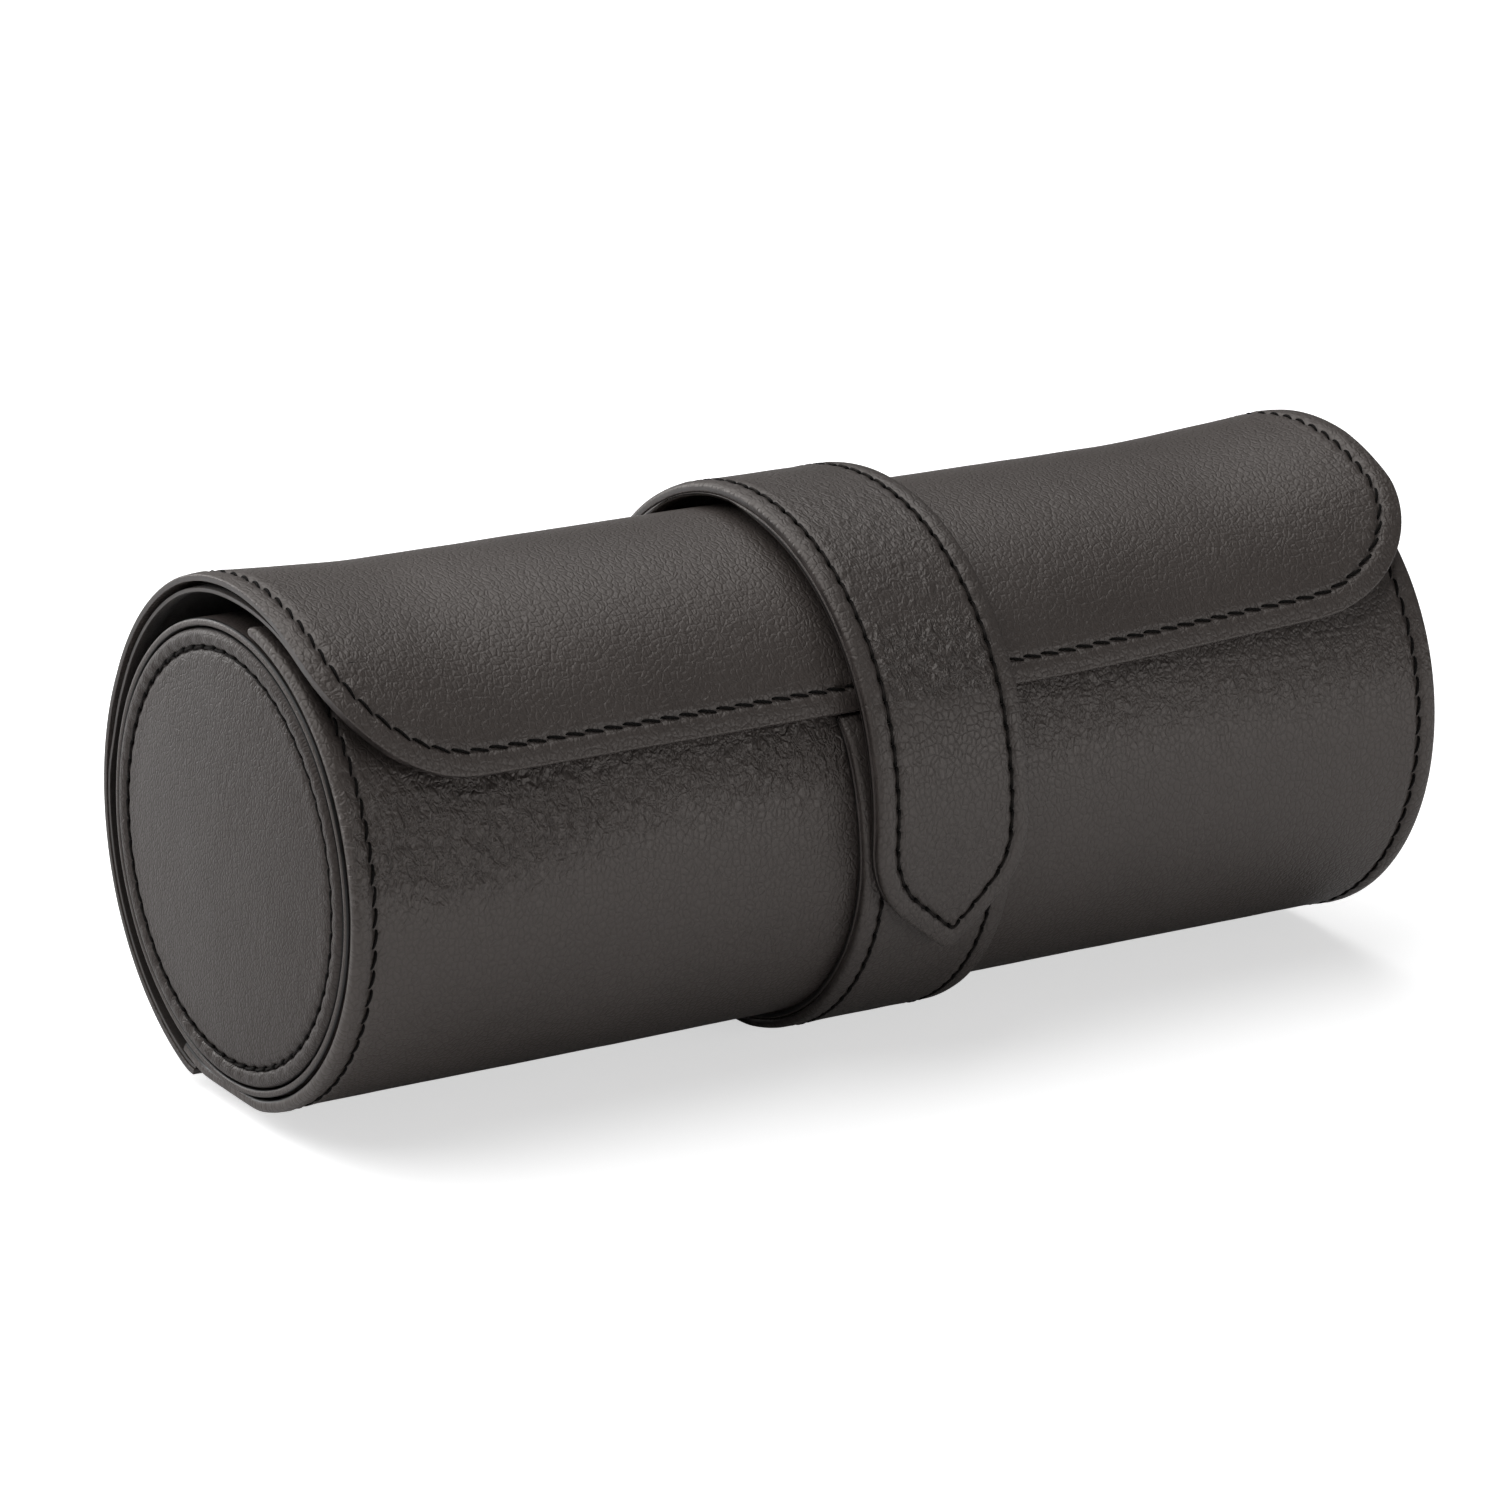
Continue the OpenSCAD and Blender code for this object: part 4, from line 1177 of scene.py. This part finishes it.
def lower_layer(name, step, sides, materials, slot, node):
    rows = np.linspace(LOWER_S0, LOWER_S1, round((LOWER_S1 - LOWER_S0) / step))
    shape = Shape()
    loops = []
    for steps, height in sides:
        d = np.array(steps)
        middle = np.linspace(STRAP_LEFT + d[-1], STRAP_RIGHT - d[-1], between(steps))[1:-1]
        x = np.concatenate([STRAP_LEFT + d, middle, (STRAP_RIGHT - d)[::-1]])
        x, s = np.meshgrid(x[::-1] if loops else x, rows)
        edge = np.minimum(np.minimum(x - STRAP_LEFT, STRAP_RIGHT - x), s - LOWER_S0)
        loops.append(shape.add(lower_surface(x, s, height(x, s, edge)), x, s))
    loop = np.concatenate(loops, 1)
    shape.tube(loop, edged(loop, loops[0].shape[1]), 1)
    piece = shape.build(name, materials)
    on_case(piece, slot, node)


def build_lower_strap():
    lower_layer(
        "strap_skin_lower", 0.5, ((STRAP_STEPS, lower_over), (PLAIN_STEPS, skin_under)),
        [STRAP_SKIN, EDGE], "leather", "strap_leather_lower",
    )
    # The backing's edges are near-black: painted shade.
    lower_layer(
        "strap_back_lower", 1.0, ((PLAIN_STEPS, back_over), (BACK_STEPS[:4], lower_under)),
        [BACKING, EDGE_DYE_AND_PAINTED_SHADE], "backing_leather", "strap_lining_lower",
    )
    for (_, word), seam in zip(ENDS, LOWER_SEAMS):
        shape = thread(seam, lower_surface, slant=0.1, tone=0.5)
        on_case(shape.build("strap_thread_lower_" + word, [THREAD]), "thread")


# ---- Inside ----


def build_trough():
    """Suede glued into the trough, with soft edges."""
    half = HALF_LEN - BAND_LEN - 0.1
    s0, s1 = arc(PANEL_TOP_DEG + 0.3, TROUGH_R), arc(PANEL_REAR_DEG - 0.2, TROUGH_R)
    rows = np.concatenate([s0 + np.array([0, 0.1, 0.35, 1]), np.linspace(s0 + 2.5, s1, 60)])
    ends = np.array([0, 0.08, 0.25, 0.6, 1.5])
    x = np.concatenate([-half + ends, np.linspace(-half + 3, half - 3, 70), (half - ends)[::-1]])
    x, s = np.meshgrid(x, rows)
    edge = np.minimum(half - np.abs(x), s - s0)
    h = -rounded(edge, 0.45) + 0.12 * cloudy(x, s, 20, 150) * smooth(edge / 6)
    shape = Shape()
    top = shape.add(place(x, TROUGH_R + h, np.degrees(s / TROUGH_R)), x, s)
    x, s = np.meshgrid([half, -half], rows)
    bottom = shape.add(place(x, BAND_R - 0.05, np.degrees(s / TROUGH_R)), x, s)
    shape.tube(np.concatenate([top, bottom], 1))
    piece = shape.build("trough_suede", [LINING])
    on_case(piece, "suede", "panel_lining")


DIVIDER_R, DIVIDER_CUT, CUT_HALF_DEG = TROUGH_R - 0.18, 26.0, 75
DIVIDER_HALF_T, DIVIDER_MIDDLE_R = 1.38, 4
DIVIDER_STEPS = np.array([0, 0.12, 0.4, 0.9, 1.6, 3, 6, 12, 20])


def build_divider(side, word):
    """Padded board between two bays, covered in suede: a disc cut straight towards the opening."""
    deg = turned(240)[:, None]
    off = (deg - OPENING_DEG + 180) % 360 - 180
    cut = DIVIDER_CUT / np.cos(np.radians(np.clip(off, -CUT_HALF_DEG, CUT_HALF_DEG)))
    cut = np.where(np.abs(off) < CUT_HALF_DEG, cut, FAR)
    blunt = 10.0
    border = (np.full_like(deg, DIVIDER_R) ** -blunt + cut**-blunt) ** (-1 / blunt)
    radius = border * (1 - DIVIDER_STEPS / border)
    radius[:, -1] = DIVIDER_MIDDLE_R
    lift = rounded(DIVIDER_STEPS, 1.3) + 0.12 * smooth(DIVIDER_STEPS / 10)
    shape = Shape()
    rims = []
    for face in (1, -1):
        uneven = face * 0.08 * cloudy(*polar(radius, deg), 12, 170 + side + face)
        x = side * BAY_PITCH / 2 + face * (DIVIDER_HALF_T + lift)
        index = revolve(shape, x + uneven * smooth(DIVIDER_STEPS / 4), radius, len(deg))
        shape.put(index[:-1, -1])
        rims.append(index[:, 0])
    shape.grid(np.stack(rims))
    piece = shape.build(word + "_divider", [LINING])
    on_case(piece, "suede", word + "_divider_suede", word + "_divider_board")


PILLOW_HALF_LEN, PILLOW_WIDE, PILLOW_DEEP = 28.1, 31.0, 28.0
PILLOW_DROP, PILLOW_DEG = 9.3, 230.0
PILLOW_POWER = 5.0


def build_pillow(bay, word):
    """Suede pillow: a crowned drum with gathered ends and a seam round each."""
    b = np.linspace(0, 2 * math.pi, 192, endpoint=False)
    a = np.radians(np.concatenate([[-89.5], np.linspace(-86, 86, 95), [89.5]]))[:, None]
    crown = np.abs(np.cos(a)) ** (2 / PILLOW_POWER)
    u = PILLOW_HALF_LEN * (np.sign(a) * np.abs(np.sin(a)) ** (2 / PILLOW_POWER))
    v = 29 * b
    ring = np.cos(3 * b) * 0.3 + np.sin(2 * b + bay) * 0.35
    seam = bell((np.abs(u) - 25.2) / 0.7)
    gather = np.cos(30 * b + 2 * np.sin(3 * b + bay)) * bell((np.abs(u) - 23.2) / 2.6)
    loose = 0.5 * cloudy(u, np.abs(v - 91), 18, 200 + bay)
    loose = loose + 0.14 * cloudy(u, np.abs(v - 91), 6, 210 + bay)
    swell = -0.9 * seam + 0.28 * gather + (loose - 0.5 + ring) * (crown > 0.3)
    y = np.minimum((PILLOW_DEEP + swell) * crown * np.cos(b), PILLOW_DEEP - 0.05)
    z = (PILLOW_WIDE + swell) * crown * np.sin(b)
    seat = math.radians(PILLOW_DEG)
    x = np.broadcast_to(bay * BAY_PITCH + u, y.shape)
    y, z = (
        (y + PILLOW_DROP) * math.cos(seat) - z * math.sin(seat),
        (y + PILLOW_DROP) * math.sin(seat) + z * math.cos(seat),
    )
    press = np.minimum(1, (TROUGH_R - 0.25) / np.hypot(y, z))
    points = np.stack([x, y * press, z * press + AXIS_H], -1) / 1000
    shape = Shape()
    # Each pillow has its own part of the suede's pattern
    index = shape.add(points, u + 70 * bay, v)
    shape.grid(index, around=True)
    shape.put(index[0])
    shape.put(index[-1])
    piece = shape.build(word + "_pillow", [PILLOW])
    on_case(piece, "pillow_suede", word + "_pillow_cover", word + "_pillow_core")


build_flap()
build_panel()
for side, word in ENDS:
    build_band(side, word)
    build_disc(side, word)
build_strap()
build_lower_strap()
build_trough()
for side, word in ENDS:
    build_divider(side, word)
for bay, word in ((-1, "left"), (0, "middle"), (1, "right")):
    build_pillow(bay, word)
for name in ("strap_magnet", "tab_magnet"):
    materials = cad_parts[name].data.materials
    materials.clear()
    materials.append(MAGNET)


# ---- Camera, fitted to the photograph ----

LENS_MM, SENSOR_MM = 157.91, 36.0
AZIMUTH, ELEVATION, ROLL = math.radians(-33.449), math.radians(18.368), 0.03
DISTANCE_MM = 1088.26
SHIFT = (-36.40 / 1500, 9.785 / 1500)


def add_object(name, data):
    made = bpy.data.objects.new(name, data)
    bpy.context.scene.collection.objects.link(made)
    return made


def build_camera():
    ahead = (math.sin(AZIMUTH) * math.cos(ELEVATION), -math.cos(AZIMUTH) * math.cos(ELEVATION))
    back = Vector((*ahead, math.sin(ELEVATION)))
    right = (-back).cross(Vector((0, 0, 1))).normalized()
    up = right.cross(-back)
    x_axis = math.cos(ROLL) * right + math.sin(ROLL) * up
    y_axis = math.cos(ROLL) * up - math.sin(ROLL) * right
    data = bpy.data.cameras.new("camera")
    data.lens, data.sensor_width = LENS_MM, SENSOR_MM
    data.shift_x, data.shift_y = SHIFT
    data.clip_start, data.clip_end = 0.05, 20
    camera = add_object("camera", data)
    turn = Matrix((x_axis, y_axis, back)).transposed().to_4x4()
    at = Vector((0, 0, AXIS_H / 1000)) + back * DISTANCE_MM / 1000
    camera.matrix_world = Matrix.Translation(at) @ turn
    bpy.context.scene.camera = camera


def area_light(name, at, target, size, power):
    data = bpy.data.lights.new(name, "AREA")
    data.shape, data.size, data.size_y = "RECTANGLE", *size
    data.energy = power
    lamp = add_object(name, data)
    lamp.location = at
    lamp.rotation_mode = "QUATERNION"
    lamp.rotation_quaternion = (Vector(target) - Vector(at)).to_track_quat("-Z", "Y")


def build_studio():
    """A white floor and background, which the camera sees brighter than they shine on the roll,
    and three area lights."""
    bpy.context.scene.view_settings.view_transform = "Standard"
    world = bpy.data.worlds.new("studio")
    bpy.context.scene.world = world
    world.use_nodes = True
    sky = Nodes(world.node_tree)
    seen = sky.add("LightPath").outputs["Is Camera Ray"]
    strength = sky.ranged(seen, 0, 1, 0.1, 1.0)
    sky.put(world.node_tree.nodes["Background"], {"Color": (1, 1, 1, 1), "Strength": strength})
    paper = Surface("floor_paper")
    seen = paper.add("LightPath").outputs["Is Camera Ray"]
    paper = paper.finish({
        "Base Color": (0.9, 0.9, 0.905, 1),
        "Roughness": 0.75,
        "Emission Color": (1, 1, 1, 1),
        "Emission Strength": paper.calc("MULTIPLY", seen, 0.6),
    })
    mesh = bpy.data.meshes.new("floor")
    half = 6.0
    around = ((-half, -half, 0), (half, -half, 0), (half, half, 0), (-half, half, 0))
    mesh.from_pydata(around, [], [(0, 1, 2, 3)])
    mesh.materials.append(paper)
    add_object("floor", mesh)
    area_light("key", (-0.35, 0.43, 1.1), (0, 0, 0.04), (2.4, 2.0), 28.5)
    area_light("rear_fill", (-0.32, 0.62, 0.2), (-0.1, 0.02, 0.04), (0.25, 0.25), 1.5)
    area_light("front_fill", (0.75, -1.25, 0.3), (0, 0, 0.03), (1.0, 0.5), 3.6)


build_camera()
build_studio()
